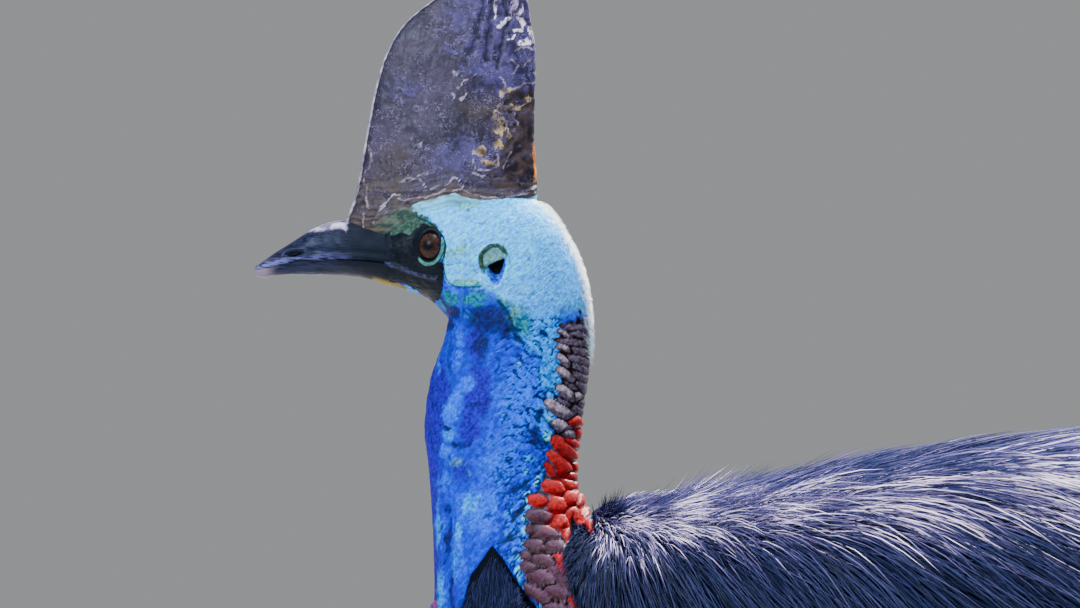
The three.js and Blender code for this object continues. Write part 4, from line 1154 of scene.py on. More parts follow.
def skin_piece(material):
    """Head, neck, trunk and thighs as one mesh with the relief of the bare skin."""
    shares = even_shares(HEAD_NECK, NECK_STEP)
    point, normal, share, _, side = ringed(HEAD_NECK, shares, NECK_COLUMNS)
    relief = skin_relief(point, normal, side)
    sunk = 6 * feather_cover(point[:, 0], point[:, 2]) * smoothstep(share, 0.8, 1)
    grown = point + normal * (relief - sunk)[:, None]
    # Trunk, sunk to the core under the plumage, but not where the bare band runs down over it
    trunk_shares = even_shares(TRUNK, TRUNK_STEP)[1:]
    low = np.linspace(0, trunk_shares[0] * 10, 60)[1:]
    trunk_shares = np.concatenate([low, trunk_shares[trunk_shares > low[-1]]])
    t_point, t_normal, t_share, _, _ = ringed(TRUNK, trunk_shares, NECK_COLUMNS)
    cover = feather_cover(t_point[:, 0], t_point[:, 2])
    t_height, _, _ = nape_lumps(t_point)
    t_lift = lerp(t_height - NAPE_SUNK, -coat_depth(t_share) / 2, cover)
    trunk = t_point + t_normal * t_lift[:, None]
    rows = len(shares) + len(trunk_shares)
    body, faces = capped(np.vstack([grown, trunk]), rows, NECK_COLUMNS)
    faces = outward(body, faces)
    points, places = [body], [point, t_point, body[-2:]]
    count = len(body)
    for way in SIDES.values():
        strip, strip_place, quads = lid_strip(way)
        if way > 0:
            quads = quads[:, ::-1]
        faces.append(quads + count)
        points.append(strip)
        places.append(strip_place)
        count += len(strip)
    for way in SIDES.values():
        thigh, quads = thigh_skin(way)
        faces += [part + count for part in outward(thigh, quads)]
        points.append(thigh)
        places.append(np.tile(UNDER_PLUMAGE, (len(thigh), 1)))
        count += len(thigh)
    masks = skin_masks(np.vstack(places))
    nodes = ("head", "neck", "torso", "tail", "thigh_left", "thigh_right")
    make("skin", np.vstack(points), faces, material, nodes, masks, turned=False)


def stance(points, side):
    """Places a leg at its side, leaning so that its foot takes its part of the stride."""
    lean = side * STRIDE * (1 - points[:, 2:3] / KNEE_HEIGHT)
    return points + np.hstack([lean, np.full_like(lean, side * LEG_SPREAD), np.zeros_like(lean)])


def thigh_depth(share):
    """How thick the plumage lies on a thigh."""
    return lerp(14, 1.5, smoothstep(share, 0.72, 0.96))


def thigh_skin(side):
    """Bare thigh and drumstick under the plumage."""
    shares = np.linspace(0, 1, THIGH_RINGS)
    point, normal, share, _, _ = ringed(THIGH, shares, THIGH_RINGS)
    depth = thigh_depth(share)
    skin = point - normal * depth[:, None]
    closed, faces = capped(skin, THIGH_RINGS, THIGH_RINGS)
    return stance(closed, side), faces


def skin_finish():
    """Blues of the neck, pale head, black face and red nape, in layers over one another."""
    finish = Finish("skin_finish", 0.5, Specular_IOR_Level=0.07, Specular_Tint=WET_BLUE)
    fine = finish.noise(420, 5)
    mottle = finish.noise(230, 4)
    # Fine wrinkles that run up and back over the head, with painted shade in them on the pale head,
    # and specks all over
    streaks = finish.noise(1.0, 3, 0.3, stretch=(130, 600, 900), turn=(0, -0.66, 0))
    specks = finish.range(finish.cells(620, "F1"), 0.1, 0.4, 1.0, 0.0)
    colour = finish.mix(finish.range(mottle, 0.35, 0.65), "0224a8", "013ce4")
    # Each layer: mask, dark and light tone, how ragged and how soft its edge is
    layers = [
        ("royal", "1a0a72", "1606b8", 0.4, 0.3),
        ("azure", "0142cc", "0462f6", 0.4, 0.3),
        ("cyan", "0264c0", "0a92fa", 0.4, 0.3),
        # Navy skin and painted shade under the cheek and jaw and along the folds
        ("navy", "12163c", "101c70", 0.4, 0.3),
        # Teal skin with painted shade under the cheek
        ("sea", "0a4862", "107e92", 0.4, 0.3),
        ("moss", "28544c", "548a7c", 0.3, 0.35),
        ("pale", "2a98ff", "42ccff", 0.3, 0.35),
        ("shaded", "2084e0", "44aaf4", 0.1, 0.45),
        ("pale_green", "2f7c8c", "62b4ba", 0.5, 0.25),
        ("grey_blue", "204a80", "4078b0", 0.5, 0.25),
        ("nodule", "2080c0", "56c8f0", 0.4, 0.3),
        # Painted shade in the wrinkles
        ("crease", "060e40", "061e60", 0.3, 0.35),
        ("olive", "20342e", "36564e", 0.6, 0.2),
        ("teal_brow", "0c4a5a", "187888", 0.4, 0.3),
        # Painted shade along the sunk lines of the cheek, jaw, brow and neck
        ("lines", "082430", "0e303c", 0.2, 0.3),
        ("ear_plate", "4a7880", "669a9e", 0.2, 0.2),
        ("ear_dark", "1c322c", "36544a", 0.3, 0.3),
        ("ear_blue", "122a8c", "2662e0", 0.3, 0.25),
        ("band", "342c3a", "585066", 0.4, 0.3),
        # Beige folds, pale only on their upper sides, where light from above is painted
        ("beige", "5c5258", "90869a", 0.4, 0.3),
        ("red", "50080c", "980f12", 0.3, 0.2),
        ("purple", "2c161c", "422a34", 0.3, 0.2),
        # Painted shade in the grooves between the folds
        ("groove", "0c0508", "1a0a0e", 0.2, 0.3),
        ("yellow", "4c3c0c", "7e7010", 0.4, 0.15),
        ("black", "090d15", "0f141f", 0.35, 0.12),
        # Painted highlight along the gape
        ("gape", "161a30", "383e6a", 0.5, 0.25),
        ("lid", "2a5c58", "468c80", 0.2, 0.2),
        ("lid_line", "0a1818", "0e2020", 0.1, 0.3),
        # Painted shade in the ear's opening
        ("hole", "020304", "050608", 0.1, 0.15),
        ("feathered", "06080f", "0a0d18", 0.3, 0.15),
        # Painted sunlit highlight down the back of the head
        ("sunlit", "90b8d0", "d4e4ee", 0.5, 0.25),
    ]
    for mask, dark, light, ragged, soft in layers:
        tone = finish.mix(finish.range(fine, 0.35, 0.65), dark, light)
        colour = finish.layer(colour, finish.attribute(mask), tone, mottle, ragged, soft)
        if mask == "shaded":
            # Painted shade in the fine wrinkles of the pale head
            wrinkle_shade = finish.times(finish.attribute("pale"), finish.range(streaks, 0.5, 0.64, 0.0, 0.5))
            colour = finish.mix(wrinkle_shade, colour, "0c64c0")
        if mask == "purple":
            # Painted highlights on the upper sides of the folds: lilac on the purple ones and
            # pink-red on the red ones
            top_light = finish.times(finish.attribute("top_light"), finish.attribute("purple"))
            colour = finish.mix(finish.times(top_light, 0.4), colour, "5a4662")
            painted_highlight = finish.times(finish.attribute("top_light"), finish.attribute("red"))
            colour = finish.mix(finish.times(painted_highlight, 0.4), colour, "b83c3c")
    smooth = finish.math("MAXIMUM", finish.attribute("band"), finish.attribute("black"))
    height = finish.plus(finish.times(fine, 0.4), finish.times(streaks, 0.9))
    height = finish.plus(height, finish.times(specks, 0.05))
    height = finish.times(height, finish.range(smooth, 0.2, 0.8, 1.0, 0.22))
    normal = finish.bump(height, 0.0011)
    gloss = finish.range(fine, 0.3, 0.7, 0.4, 0.58)
    gloss = finish.math("SUBTRACT", gloss, finish.times(smooth, 0.08))
    gloss = finish.plus(gloss, finish.times(finish.attribute("feathered"), 0.5))
    return finish.finish(colour, gloss, normal)


skin_piece(skin_finish())


# Casque

CASQUE_SOFTNESS = 0.2  # how soft the edges of the horn's layers are
CASQUE_TIP = 0.6  # how far the closing point stands over the uppermost ring
CASQUE_BORDER = photo(
    (342, 226), (348, 227), (361, 232), (376, 233), (390, 223), (405, 211), (419, 202.5),
    (439, 196.5),
    (453, 193), (473, 199), (494, 201), (519, 202), (538, 194),
)
# Creases sunk into the horn: course, depth and half width in millimetres
CASQUE_CREASES = [
    (photo((485, -18), (483, 8), (478, 30), (471, 55)), 1.6, 2.0),
    (photo((495, -18), (492, 8), (489, 34), (486, 62)), 2.2, 2.0),
    (photo((503, 0), (508, 20), (503, 44), (497, 70)), 1.2, 1.6),
    (photo((517, -12), (514, 8), (508, 26)), 1.4, 1.6),
    (photo((516, 52), (527, 70), (533, 96)), 0.9, 1.6),
    (photo((474, 170), (486, 177), (503, 178)), 0.8, 1.2),
    (photo((462, 182), (480, 188), (505, 190)), 0.7, 1.2),
    (photo((383, 196), (410, 194), (436, 192)), 0.6, 1.2),
]
# Pale cracks and edges of peeling horn
CASQUE_CRACKS = [
    photo((369, 148), (371, 160), (370, 168), (365, 174), (363, 182)),
    photo((366, 186), (366, 200), (369, 208), (364, 215), (365, 228)),
    photo((381, 207), (388, 202), (392, 196), (400, 196)),
    photo((374, 222), (380, 212), (386, 206)),
    photo((402, 182), (409, 178), (416, 180)),
    photo((415, 176), (424, 184), (430, 190), (437, 186), (443, 184)),
    photo((416, 176), (428, 173), (430, 180)),
    photo((447, 186), (454, 177), (458, 178), (464, 188)),
    photo((452, 192), (462, 190), (474, 194), (486, 199), (512, 197), (534, 193)),
    photo((398, 200), (418, 199), (432, 196), (446, 190)),
    photo((536, 82), (524, 84), (516, 89), (508, 91), (502, 97)),
    photo((499, 103), (507, 107), (516, 109), (522, 106), (530, 101)),
    photo((497, 112), (495, 120), (497, 129), (503, 136), (509, 132), (506, 122), (500, 114)),
    photo((516, 112), (514, 118), (518, 125)), photo((511, 152), (507, 160), (503, 168)),
    photo((475, 148), (473, 158), (475, 170), (486, 172), (497, 168), (499, 158), (495, 152)),
    photo((481, 160), (490, 163), (497, 160)), photo((472, 174), (486, 176)),
    photo((458, 88), (464, 82), (471, 80), (477, 76)), photo((452, 94), (455, 98)),
    photo((462, 101), (465, 93)),
    photo((500, 76), (506, 84), (504, 92)), photo((512, 60), (518, 66), (514, 74)),
    photo((530, 58), (524, 66)),
    photo((516, 50), (526, 48), (534, 49)), photo((412, 140), (414, 146), (420, 148), (423, 142)),
]
PEEL_EDGE = (0.7, 1.5)  # how the patches of peeled horn fade towards their edges
# Patches of peeled horn: middle, half width, half height and slope, in pixels and degrees
CRUSTS = [
    (500, 129, 6, 9, 0), (481, 151, 5.5, 5, 0), (489, 163, 8, 3.4, 12), (499, 145, 4, 5, 0),
    (511, 107, 13, 3, 4),
    (506, 92, 8, 3, -20), (496, 116, 3, 6, 0), (527, 100, 5, 3, -20), (509, 136, 3, 4, 0),
]
PEELS = [
    (496, 6, 1.6, 15, 5), (515, 5, 3.2, 13, 24), (505, 22, 9, 2.6, -40), (517, 31, 7, 2.2, 5),
    (523, 23, 2.4, 6, -20),
    (526, 43, 9, 3.4, -12), (520, 12, 2.4, 8, 20), (455, 74, 3, 2.2, 40), (531, 34, 2, 7, -20),
    (512, 38, 5, 1.6, -30),
]


def casque_piece():
    """The horn of the casque, with its creases, cracks and peeling patches."""
    rows, columns = 230, 256
    height, turn = ring_grid(rows, columns)
    front_x, front_z, rear_x, rear_z, half = between(CASQUE, height).T
    c = np.cos(turn)
    x = (front_x + rear_x) / 2 + (front_x - rear_x) / 2 * c
    z = (front_z + rear_z) / 2 + (front_z - rear_z) / 2 * c
    y = half * (1 - CASQUE_KEEL * c) * np.sin(turn)
    points = np.stack([x, y, z], -1)
    side = np.sign(y)
    px, py = pixels(x, z)
    shaky_x = px + 1.6 * noise(points, 4, 25, 2)
    shaky_y = py + 1.6 * noise(points, 4, 26, 2)
    shaky = photo(*zip(shaky_x, shaky_y)).T
    border = line_distance(x, z, CASQUE_BORDER)
    lift = 0.55 * noise(points, 22, 21, 2) + 0.2 * noise(points, 4, 22, 2)
    lift += 0.6 * bell((border - 3) / 2.6) + 0.3 * np.sin(border * 1.7) * bell(border / 13)
    for crease, depth, wide in CASQUE_CREASES:
        near = line_distance(*shaky, crease)
        lift += 0.4 * depth * bell(near / (3 * wide)) - 1.4 * depth * bell(near / wide)
    crack = np.min([line_distance(*shaky, line) for line in CASQUE_CRACKS], axis=0)
    crust = patches(CRUSTS, shaky_x, shaky_y, *PEEL_EDGE)
    peel = patches(PEELS, shaky_x, shaky_y, *PEEL_EDGE)
    rear = sets_in(px + 0.15 * py, "casque_rear") * sets_in(py, "casque_rear_top")
    rear = rear * ends(py, "casque_rear_foot")
    rough = noise(points, 5, 27, 3)
    lift += 0.35 * bell(crack / 0.8)
    lift += 0.5 * smoothstep(crust, 0.4, 0.6) + 0.5 * smoothstep(peel, 0.4, 0.6)
    lift -= rear * (0.5 + 0.7 * rough)
    points[:, 1] += side * lift * smoothstep(np.abs(y), 0.0, 2.5)
    points[:, 0] += 0.5 * lift * -c * np.abs(c) ** 3
    tips = points[:columns].mean(0), points[-columns:].mean(0) + (0, 0, CASQUE_TIP)
    closed, faces = capped(points, rows, columns, tips)
    sunk = [bell(line_distance(*shaky, line) / (0.7 * wide)) for line, _, wide in CASQUE_CREASES]
    front = x - np.interp(z, *between(CASQUE, np.linspace(0, 1, 80))[:, [1, 0]].T)
    masks = {
        "rim": bell(border / 6) + 0.5 * sets_in(py - 0.4 * px, "rim_foot") * ends(px, "rim_end"),
        "crack": (1 - smoothstep(crack, 0.25, 1.1)) * smoothstep(rough, -0.8, -0.4),
        "crust": crust,
        "peel": peel,
        "rear": rear * (0.75 + 0.5 * rough),
        # Dark: painted shade in the sunk creases, and darker along the front edge
        "dark": np.max(sunk, axis=0) + 0.75 * bell(front / 6),
        # The horn's own blue-violet, and a painted bluish sheen over the upper rear
        "blue_and_sheen": sets_in(px - 0.3 * py + 14 * rough, "blue_and_sheen") * ends(py + 16 * rough, "blue_end")
        + 0.9 * spot(x, z, *SPOTS["blue_foot"]) + 0.6 * spot(x, z, *SPOTS["blue_front"]),
        "brown": spot(x, z, *SPOTS["brown_foot"]) + 0.8 * spot(x, z, *SPOTS["brown_rear"]),
        "amber": smoothstep(-c, 0.95, 0.995) * sets_in(py, "amber") * ends(py, "amber_end"),
        "keel": smoothstep(c, 0.955, 0.995),
        "olive": inside(x, z, OLIVE_BROW, 5.0),
        "skin": smoothstep(np.interp(x, *CASQUE_BORDER.T) - z + rough, -0.5, 1.2)
        * sets_in(px, "casque_skin"),
    }
    masks = {mask: for_tips(np.clip(values, 0, 1)) for mask, values in masks.items()}
    make("casque_horn", closed, faces, casque_finish(), ("casque",), masks)


def casque_finish():
    """Dark horn, scratched and worn, with paler layers where it peels."""
    finish = Finish("casque_finish", 0.42, Specular_IOR_Level=0.16, Specular_Tint=HORN_BLUE)
    cloud = finish.noise(110, 6, 0.4)
    grain = finish.noise(300, 5)
    colour = finish.mix(finish.range(finish.noise(30, 4, 0.6), 0.35, 0.65), "1f1d2a", "322c40")
    colour = finish.mix(finish.range(grain, 0.45, 0.7, 0.0, 0.5), colour, "3e384e")
    # Each layer: mask, dark and light tone, how ragged its edge is, and its strength
    layers = [
        # Blue-violet horn, with a painted bluish sheen over the upper rear
        ("blue_and_sheen", "211f3a", "3d386c", 0.6, 0.8),
        ("brown", "211c1e", "383130", 0.6, 0.8),
        ("rim", "1e1817", "3a312e", 0.6, 0.9),
        # Painted shade in the creases, darker along the front edge
        ("dark", "131320", "1e1e30", 0.4, 0.75),
        ("rear", "161217", "362c2c", 0.6, 0.95),
        ("crust", "40362c", "a8946c", 0.6, 0.9),
        ("crack", "4e4858", "9088a0", 0.5, 0.75),
        ("peel", "7c7098", "f0eafc", 0.6, 1.0),
        ("amber", "8c4200", "d07c10", 0.3, 1.0),
        ("keel", "6a6480", "a8a4bc", 0.5, 0.9),
        ("skin", "4a9ab4", "52b8e8", 0.3, 1.0),
        ("olive", "20342e", "36564e", 0.6, 1.0),
    ]
    # Scratches: thin pale curls where a folded noise crosses its middle, and small specks
    curls = finish.math("ABSOLUTE", finish.math("SUBTRACT", finish.noise(230, 2, 1.6), 0.5), 0.0)
    scratch = finish.range(curls, 0.0, 0.045, 0.8, 0.0)
    scratch = finish.times(scratch, finish.range(finish.noise(80, 3), 0.42, 0.56))
    specks = finish.range(finish.cells(420, "F1", stretch=(1, 1, 0.6)), 0.05, 0.2, 1.0, 0.0)
    specks = finish.times(specks, finish.range(finish.noise(160, 2), 0.58, 0.72))
    marks = finish.math("MAXIMUM", scratch, specks)
    strips = finish.noise(1.0, 3, 0.6, stretch=(420, 420, 170), turn=(0, 0.25, 0))
    for mask, dark, light, ragged, strength in layers:
        place = finish.attribute(mask)
        if mask in ("peel", "crust"):
            place = finish.times(place, finish.range(strips, 0.36, 0.52, 0.35, 1.0))
        tone = finish.mix(finish.range(cloud, 0.38, 0.62), dark, light)
        colour = finish.layer(colour, place, tone, grain, ragged, CASQUE_SOFTNESS, strength)
        if mask == "brown":
            colour = finish.mix(finish.times(marks, 0.6), colour, "807aa6")
    stripes = finish.noise(1.0, 4, stretch=(60, 60, 420))
    rim_lines = finish.times(finish.attribute("rim"), finish.range(stripes, 0.45, 0.6, 0.0, 0.6))
    colour = finish.mix(rim_lines, colour, "5a504c")
    fibres = finish.noise(1.0, 4, stretch=(260, 260, 60))
    height = finish.plus(finish.times(fibres, 0.5), finish.times(cloud, 0.5))
    height = finish.plus(height, finish.times(marks, 0.25))
    height = finish.plus(height, finish.times(grain, 0.35))
    normal = finish.bump(height, 0.001)
    return finish.finish(colour, finish.range(cloud, 0.3, 0.7, 0.34, 0.55), normal)


# Bill

BILL_OVERLAP = 0.03  # how far the bill's edge laps over the skin of the face
NOSTRIL = photo((295, 254))[0]
# The pale ridge on top of the bill: worn horn, with a painted sunlit highlight
BILL_WORN_LIT_RIDGE = photo(
    (283, 236), (290, 229), (302, 223.5), (318, 219), (336, 217), (347, 221), (348, 231),
    (338, 228.5), (324, 230),
    (308, 231), (296, 236), (286, 241),
)
# The line of a painted highlight along the lower edge of the upper bill
BILL_HIGHLIGHT_LINE = photo(
    (256, 268), (266, 265), (282, 261.5), (300, 260), (330, 258), (356, 259), (388, 265),
)


def bill_pieces():
    """Upper and lower bill, parted along the line of the mouth."""
    rows, columns = 110, 96
    point, normal, share, _, _ = ringed(BILL, np.linspace(0, 1, rows), columns)
    face_shares = np.linspace(0, BILL_OVERLAP, 8)[1:]
    face = ringed(HEAD_NECK, face_shares, columns)
    lap = 0.5 - 1.1 * smoothstep(face[2], 0.4 * BILL_OVERLAP, BILL_OVERLAP)
    rise = 0.5 * smoothstep(share, 0.8, 1)
    point = np.vstack([point, face[0]])
    normal = np.vstack([normal, face[1]])
    rise = np.concatenate([rise, lap])
    x, z = point[:, 0], point[:, 2]
    line = np.array(MOUTH_LINE)
    mouth = np.interp(x, line[:, 0], line[:, 1])
    along = smoothstep(x, -236, -205)
    lift = rise + 0.09 * noise(point, 5, 31, 2)
    lift += along * (0.8 * bell((z - mouth - 3.4) / 1.3) - 0.7 * bell((z - mouth - 6.8) / 1.8))
    lift += along * 0.5 * bell((z - mouth + 3.2) / 1.2)
    dx, dz = x - NOSTRIL[0], z - NOSTRIL[1]
    nostril = np.hypot((dx + 0.25 * dz) / 7.2, (dz - 0.12 * dx) / 2.9)
    lift += 0.5 * bell((nostril - 1.25) / 0.35) - 2.3 * (1 - smoothstep(nostril, 0.45, 1.05))
    lift -= 0.5 * spot(x, z, *SPOTS["nostril_groove"])
    grown = point + normal * lift[:, None]
    total = rows + len(face_shares)
    material = bill_finish()
    px, _ = pixels(x, z)
    ragged = 3 * noise(point, 4, 33, 2)
    for name, keep in (("upper", 1), ("lower", -1)):
        half = grown.copy()
        edge = np.interp(half[:, 0], line[:, 0], line[:, 1]) + keep * 0.03
        half[:, 2] = np.maximum(half[:, 2], edge) if keep > 0 else np.minimum(half[:, 2], edge)
        closed, faces = capped(half, total, columns)
        masks = {
            # Hole: near-black painted shade in the nostril
            "hole": 1 - smoothstep(nostril, 0.4, 0.85),
            "horn": (1 - sets_in(px + ragged, "bill_tip")) * (0.9 if keep < 0 else 0.1),
            # Ridge: worn horn and a painted sunlit highlight
            "ridge": inside(x + ragged, z + 0.5 * ragged, BILL_WORN_LIT_RIDGE, 1.5),
            # Painted highlight along the lower edge of the upper bill
            "painted_highlight": (keep > 0) * bell(line_distance(x, z, BILL_HIGHLIGHT_LINE) / 2.2),
            "rear": sets_in(px + 2 * ragged, "bill_rear"),
            "yellow": (keep < 0) * inside(x, z, YELLOW_PATCH, 1.6),
        }
        masks = {mask: for_tips(values) for mask, values in masks.items()}
        node = f"bill_{name}"
        make(f"{node}_horn", closed, faces, material, (node,), masks)


def bill_finish():
    """Black horn with a worn tip, a pale ridge that is partly worn horn and partly a painted sunlit
    highlight, a painted highlight along the mouth, and a yellow patch below.
    """
    finish = Finish("bill_finish", 0.34, Specular_IOR_Level=0.14, Specular_Tint=BILL_BLUE)
    cloud = finish.noise(90, 5, 0.5)
    lines = finish.noise(1.0, 4, 0.3, stretch=(90, 500, 800), turn=(0, 0.12, 0))
    colour = finish.mix(finish.range(lines, 0.35, 0.65), "0d101c", "1f2440")
    # Painted highlight along the lower edge of the upper bill, by the mouth
    painted_highlight = finish.times(finish.attribute("painted_highlight"), finish.range(lines, 0.35, 0.6))
    colour = finish.mix(painted_highlight, colour, "545a98")
    colour = finish.mix(finish.attribute("rear"), colour, "0a0f18")
    # Pale ridge: worn horn and a painted sunlit highlight on top of the bill
    ridge = finish.times(finish.attribute("ridge"), finish.range(cloud, 0.4, 0.56, 0.25, 1.0))
    colour = finish.mix(ridge, colour, "a49cc0")
    colour = finish.mix(finish.attribute("horn"), colour, "75687a")
    colour = finish.mix(finish.attribute("yellow"), colour, "7a680e")
    # Painted shade in the nostril
    colour = finish.mix(finish.attribute("hole"), colour, "020202")
    normal = finish.bump(finish.plus(lines, finish.times(cloud, 0.6)), 0.0004)
    gloss = finish.range(cloud, 0.3, 0.7, 0.24, 0.42)
    gloss = finish.plus(gloss, finish.times(finish.attribute("rear"), 0.3))
    return finish.finish(colour, gloss, normal)


# Eyes

PUPIL = 3.0
IRIS = 10.5
BALL_INSET = 0.15  # how far the ball lies inside the lids
CORNEA_RISE = 0.35
CORNEA_SPREAD = 0.45  # how far the cornea reaches from its middle, in radians
SPOKES = 34
POLE = 0.004  # the eyeball's rings end this far from its poles, in radians


def eye_pieces():
    """Two eyeballs with a slightly raised cornea."""
    material = eye_finish()
    for name, side in SIDES.items():
        centre, normal = eye_centre(side)
        rows, columns = 80, 96
        polar, turn = ring_grid(rows, columns, POLE, math.pi - POLE)
        u = unit(np.cross((0, 0, 1.0), normal))
        v = np.cross(normal, u)
        way = (
            np.cos(polar)[:, None] * normal
            + (np.sin(polar) * np.cos(turn))[:, None] * u
            + (np.sin(polar) * np.sin(turn))[:, None] * v
        )
        radius = EYE["radius"] - BALL_INSET + CORNEA_RISE * bell(polar / CORNEA_SPREAD)
        pole = np.arange(columns)[None]
        faces = [grid_faces(rows, columns), pole[:, ::-1], pole + (rows - 1) * columns]
        points = centre + way * radius[:, None]
        ring = polar * EYE["radius"]
        masks = {"ring": ring, "spoke": 0.5 + 0.5 * np.sin(turn * SPOKES + 3 * np.sin(turn * 5))}
        make(f"eyeball_{name}", points, faces, material, (f"eye_{name}",), masks)


def eye_finish():
    """A brown iris with fine spokes round a dark pupil."""
    wet = dict(Coat_Weight=0.04, Coat_Roughness=0.05)
    finish = Finish("eye_finish", 0.4, Specular_IOR_Level=0.06, **wet)
    ring = finish.attribute("ring")
    spoke = finish.times(finish.attribute("spoke"), finish.range(finish.noise(500, 3), 0.3, 0.7))
    iris = finish.mix(spoke, "201514", "46302a")
    inner = finish.range(ring, PUPIL, PUPIL + 3.4, 1.0, 0.0)
    colour = finish.mix(finish.times(inner, 0.85), iris, "100a0c")
    colour = finish.mix(finish.range(ring, PUPIL - 0.5, PUPIL + 0.4, 1.0, 0.0), colour, "05070f")
    colour = finish.mix(finish.range(ring, IRIS - 1.6, IRIS), colour, "0c0706")
    return finish.finish(colour)


# Wattles


def wattle_pieces():
    """The two wattles that hang from the foot of the throat."""
    material = wattle_finish()
    for name, side in SIDES.items():
        rows, columns = 120, 56
        s = np.linspace(0, 1, rows)
        path = np.stack([
            lerp(-104, WATTLE["front"], smoothstep(s, 0, 0.45)),
            side * lerp(10, WATTLE["apart"], smoothstep(s, 0, 0.6)),
            WATTLE["root"] + 14 - s * (WATTLE["hang"] + 14),
        ], -1)
        full = np.sin(math.pi * np.clip(0.12 + s * 0.72, 0, 1)) ** 0.8
        tip = np.clip(1 - ((s - 0.9) / 0.1) ** 2, 0.02, 1) ** (s > 0.9)
        radii = WATTLE["thick"] * lerp(0.32, 1, full) * np.sqrt(tip)
        points, faces = tube(path, radii, columns)
        z = points[:, 2]
        middle = np.stack([np.interp(z, path[::-1, 2], path[::-1, k]) for k in range(3)], -1)
        out = unit(points - middle)
        wrinkle = 0.9 * noise(points * (1, 1, 0.45), 6, 41, 2)
        wrinkle = wrinkle + 0.7 * np.sin(z * 0.9 + 4 * noise(points, 12, 42))
        points = points + out * (wrinkle - 0.6)[:, None]
        masks = {"low": np.clip((WATTLE["root"] - points[:, 2]) / WATTLE["hang"], 0, 1)}
        make(f"wattle_skin_{name}", points, faces, material, (f"wattle_{name}",), masks)


def wattle_finish():
    """Red wrinkled skin, purple where it leaves the neck."""
    finish = Finish("wattle_finish", 0.5, Specular_IOR_Level=0.2)
    cloud = finish.noise(140, 5, 0.4)
    low = finish.range(finish.attribute("low"), 0.0, 0.3)
    red = finish.mix(finish.range(cloud, 0.35, 0.65), "840e16", "b02c24")
    top = finish.mix(finish.range(cloud, 0.35, 0.65), "3a2f9c", "8a3a6a")
    colour = finish.mix(low, top, red)
    creases = finish.cells(260, place=finish.warped(70, 0.008))
    # Painted shade: the wrinkled skin is darker along the creases
    colour = finish.mix(finish.range(creases, 0.0, 0.12, 0.5, 0.0), colour, "44080e")
    normal = finish.bump(finish.range(creases, 0.0, 0.25), 0.0009)
    return finish.finish(colour, None, finish.bump(cloud, 0.0008, normal))


# Legs, feet and claws

SCUTE_PITCH = 13.0
TOE_SCUTE_PITCH = 7.0


def leg_piece(name, side, material):
    """A bare shank with scutes down its front, and its three toes."""
    shares = even_shares(TARSUS, 1.7)
    columns = 72
    point, normal, _, angle, _ = ringed(TARSUS, shares, columns)
    z = point[:, 2]
    front = smoothstep(angle, 1.75, 2.2)
    phase = ((395 - z) / SCUTE_PITCH + 0.03 * noise(point, 30, 51)) % 1
    plate = smoothstep(phase, 0.0, 0.9) * (1 - smoothstep(phase, 0.9, 1.0))
    across = 1 - 0.5 * smoothstep(angle, 2.2, 1.8)
    small = np.abs(noise(point, 3.2, 52, 2))
    lift = front * (2.1 * plate - 0.6) * across + (1 - front) * (0.9 * small - 0.3)
    lift *= smoothstep(z, 4, 16)
    groove = front * np.maximum(smoothstep(phase, 0.86, 0.97), 1 - smoothstep(phase, 0.0, 0.1))
    skin = point + normal * lift[:, None]
    skin[:, 2] = np.maximum(skin[:, 2], 0.0)
    closed, faces = capped(skin, len(shares), columns)
    parts = [(stance(closed, side), outward(closed, faces), for_tips(groove))]
    parts += [toe(sizes, side) for sizes in TOES.values()]
    points, faces = joined([part[:2] for part in parts])
    masks = {"groove": np.concatenate([part[2] for part in parts])}
    nodes = [f"tarsus_{name}"] + [f"toe_{toe_name}_{name}" for toe_name in TOES]
    make(f"leg_{name}", points, faces, material, nodes, masks, turned=False)


def toe(sizes, side):
    """A toe with plates across its top and pads below, flat on the floor."""
    rows, columns = 90, 44
    turn = math.radians(sizes["heading"]) * side
    ahead = np.array([-math.cos(turn), math.sin(turn), 0])
    across = np.array([-ahead[1], ahead[0], 0])
    s, a = ring_grid(rows, columns)
    end = np.sqrt(np.clip(1 - np.clip((s - 0.93) / 0.07, 0, 1) ** 2, 0.05, 1))
    pad = 1 + 0.1 * np.cos(2 * math.pi * 2.5 * s)
    wide = sizes["half"] * lerp(1, 0.7, s) * pad * end
    tall = sizes["high"] / 2 * lerp(1, 0.62, s) * end
    reach = lerp(5, sizes["length"], s)
    phase = (reach / TOE_SCUTE_PITCH) % 1
    top = smoothstep(np.sin(a), 0.25, 0.6)
    plate = smoothstep(phase, 0, 0.85) * (1 - smoothstep(phase, 0.85, 1.0)) * top
    spots = np.stack([reach, wide * np.cos(a), tall * np.sin(a)], -1)
    lift = plate - 0.4 + 0.25 * (np.sin(a) < 0.3) * noise(spots, 2.6, 53)
    up = tall * 0.82 + (tall * 1.18 + lift) * np.sin(a)
    points = np.array([FOOT_X, 0, 0]) + ahead * reach[:, None]
    points += across * ((wide + lift) * np.cos(a))[:, None]
    points[:, 2] = np.maximum(up, 0)
    groove = (1 - smoothstep(phase, 0.0, 0.14)) * top
    closed, faces = capped(points, rows, columns)
    return stance(closed, side), outward(closed, faces), for_tips(groove)


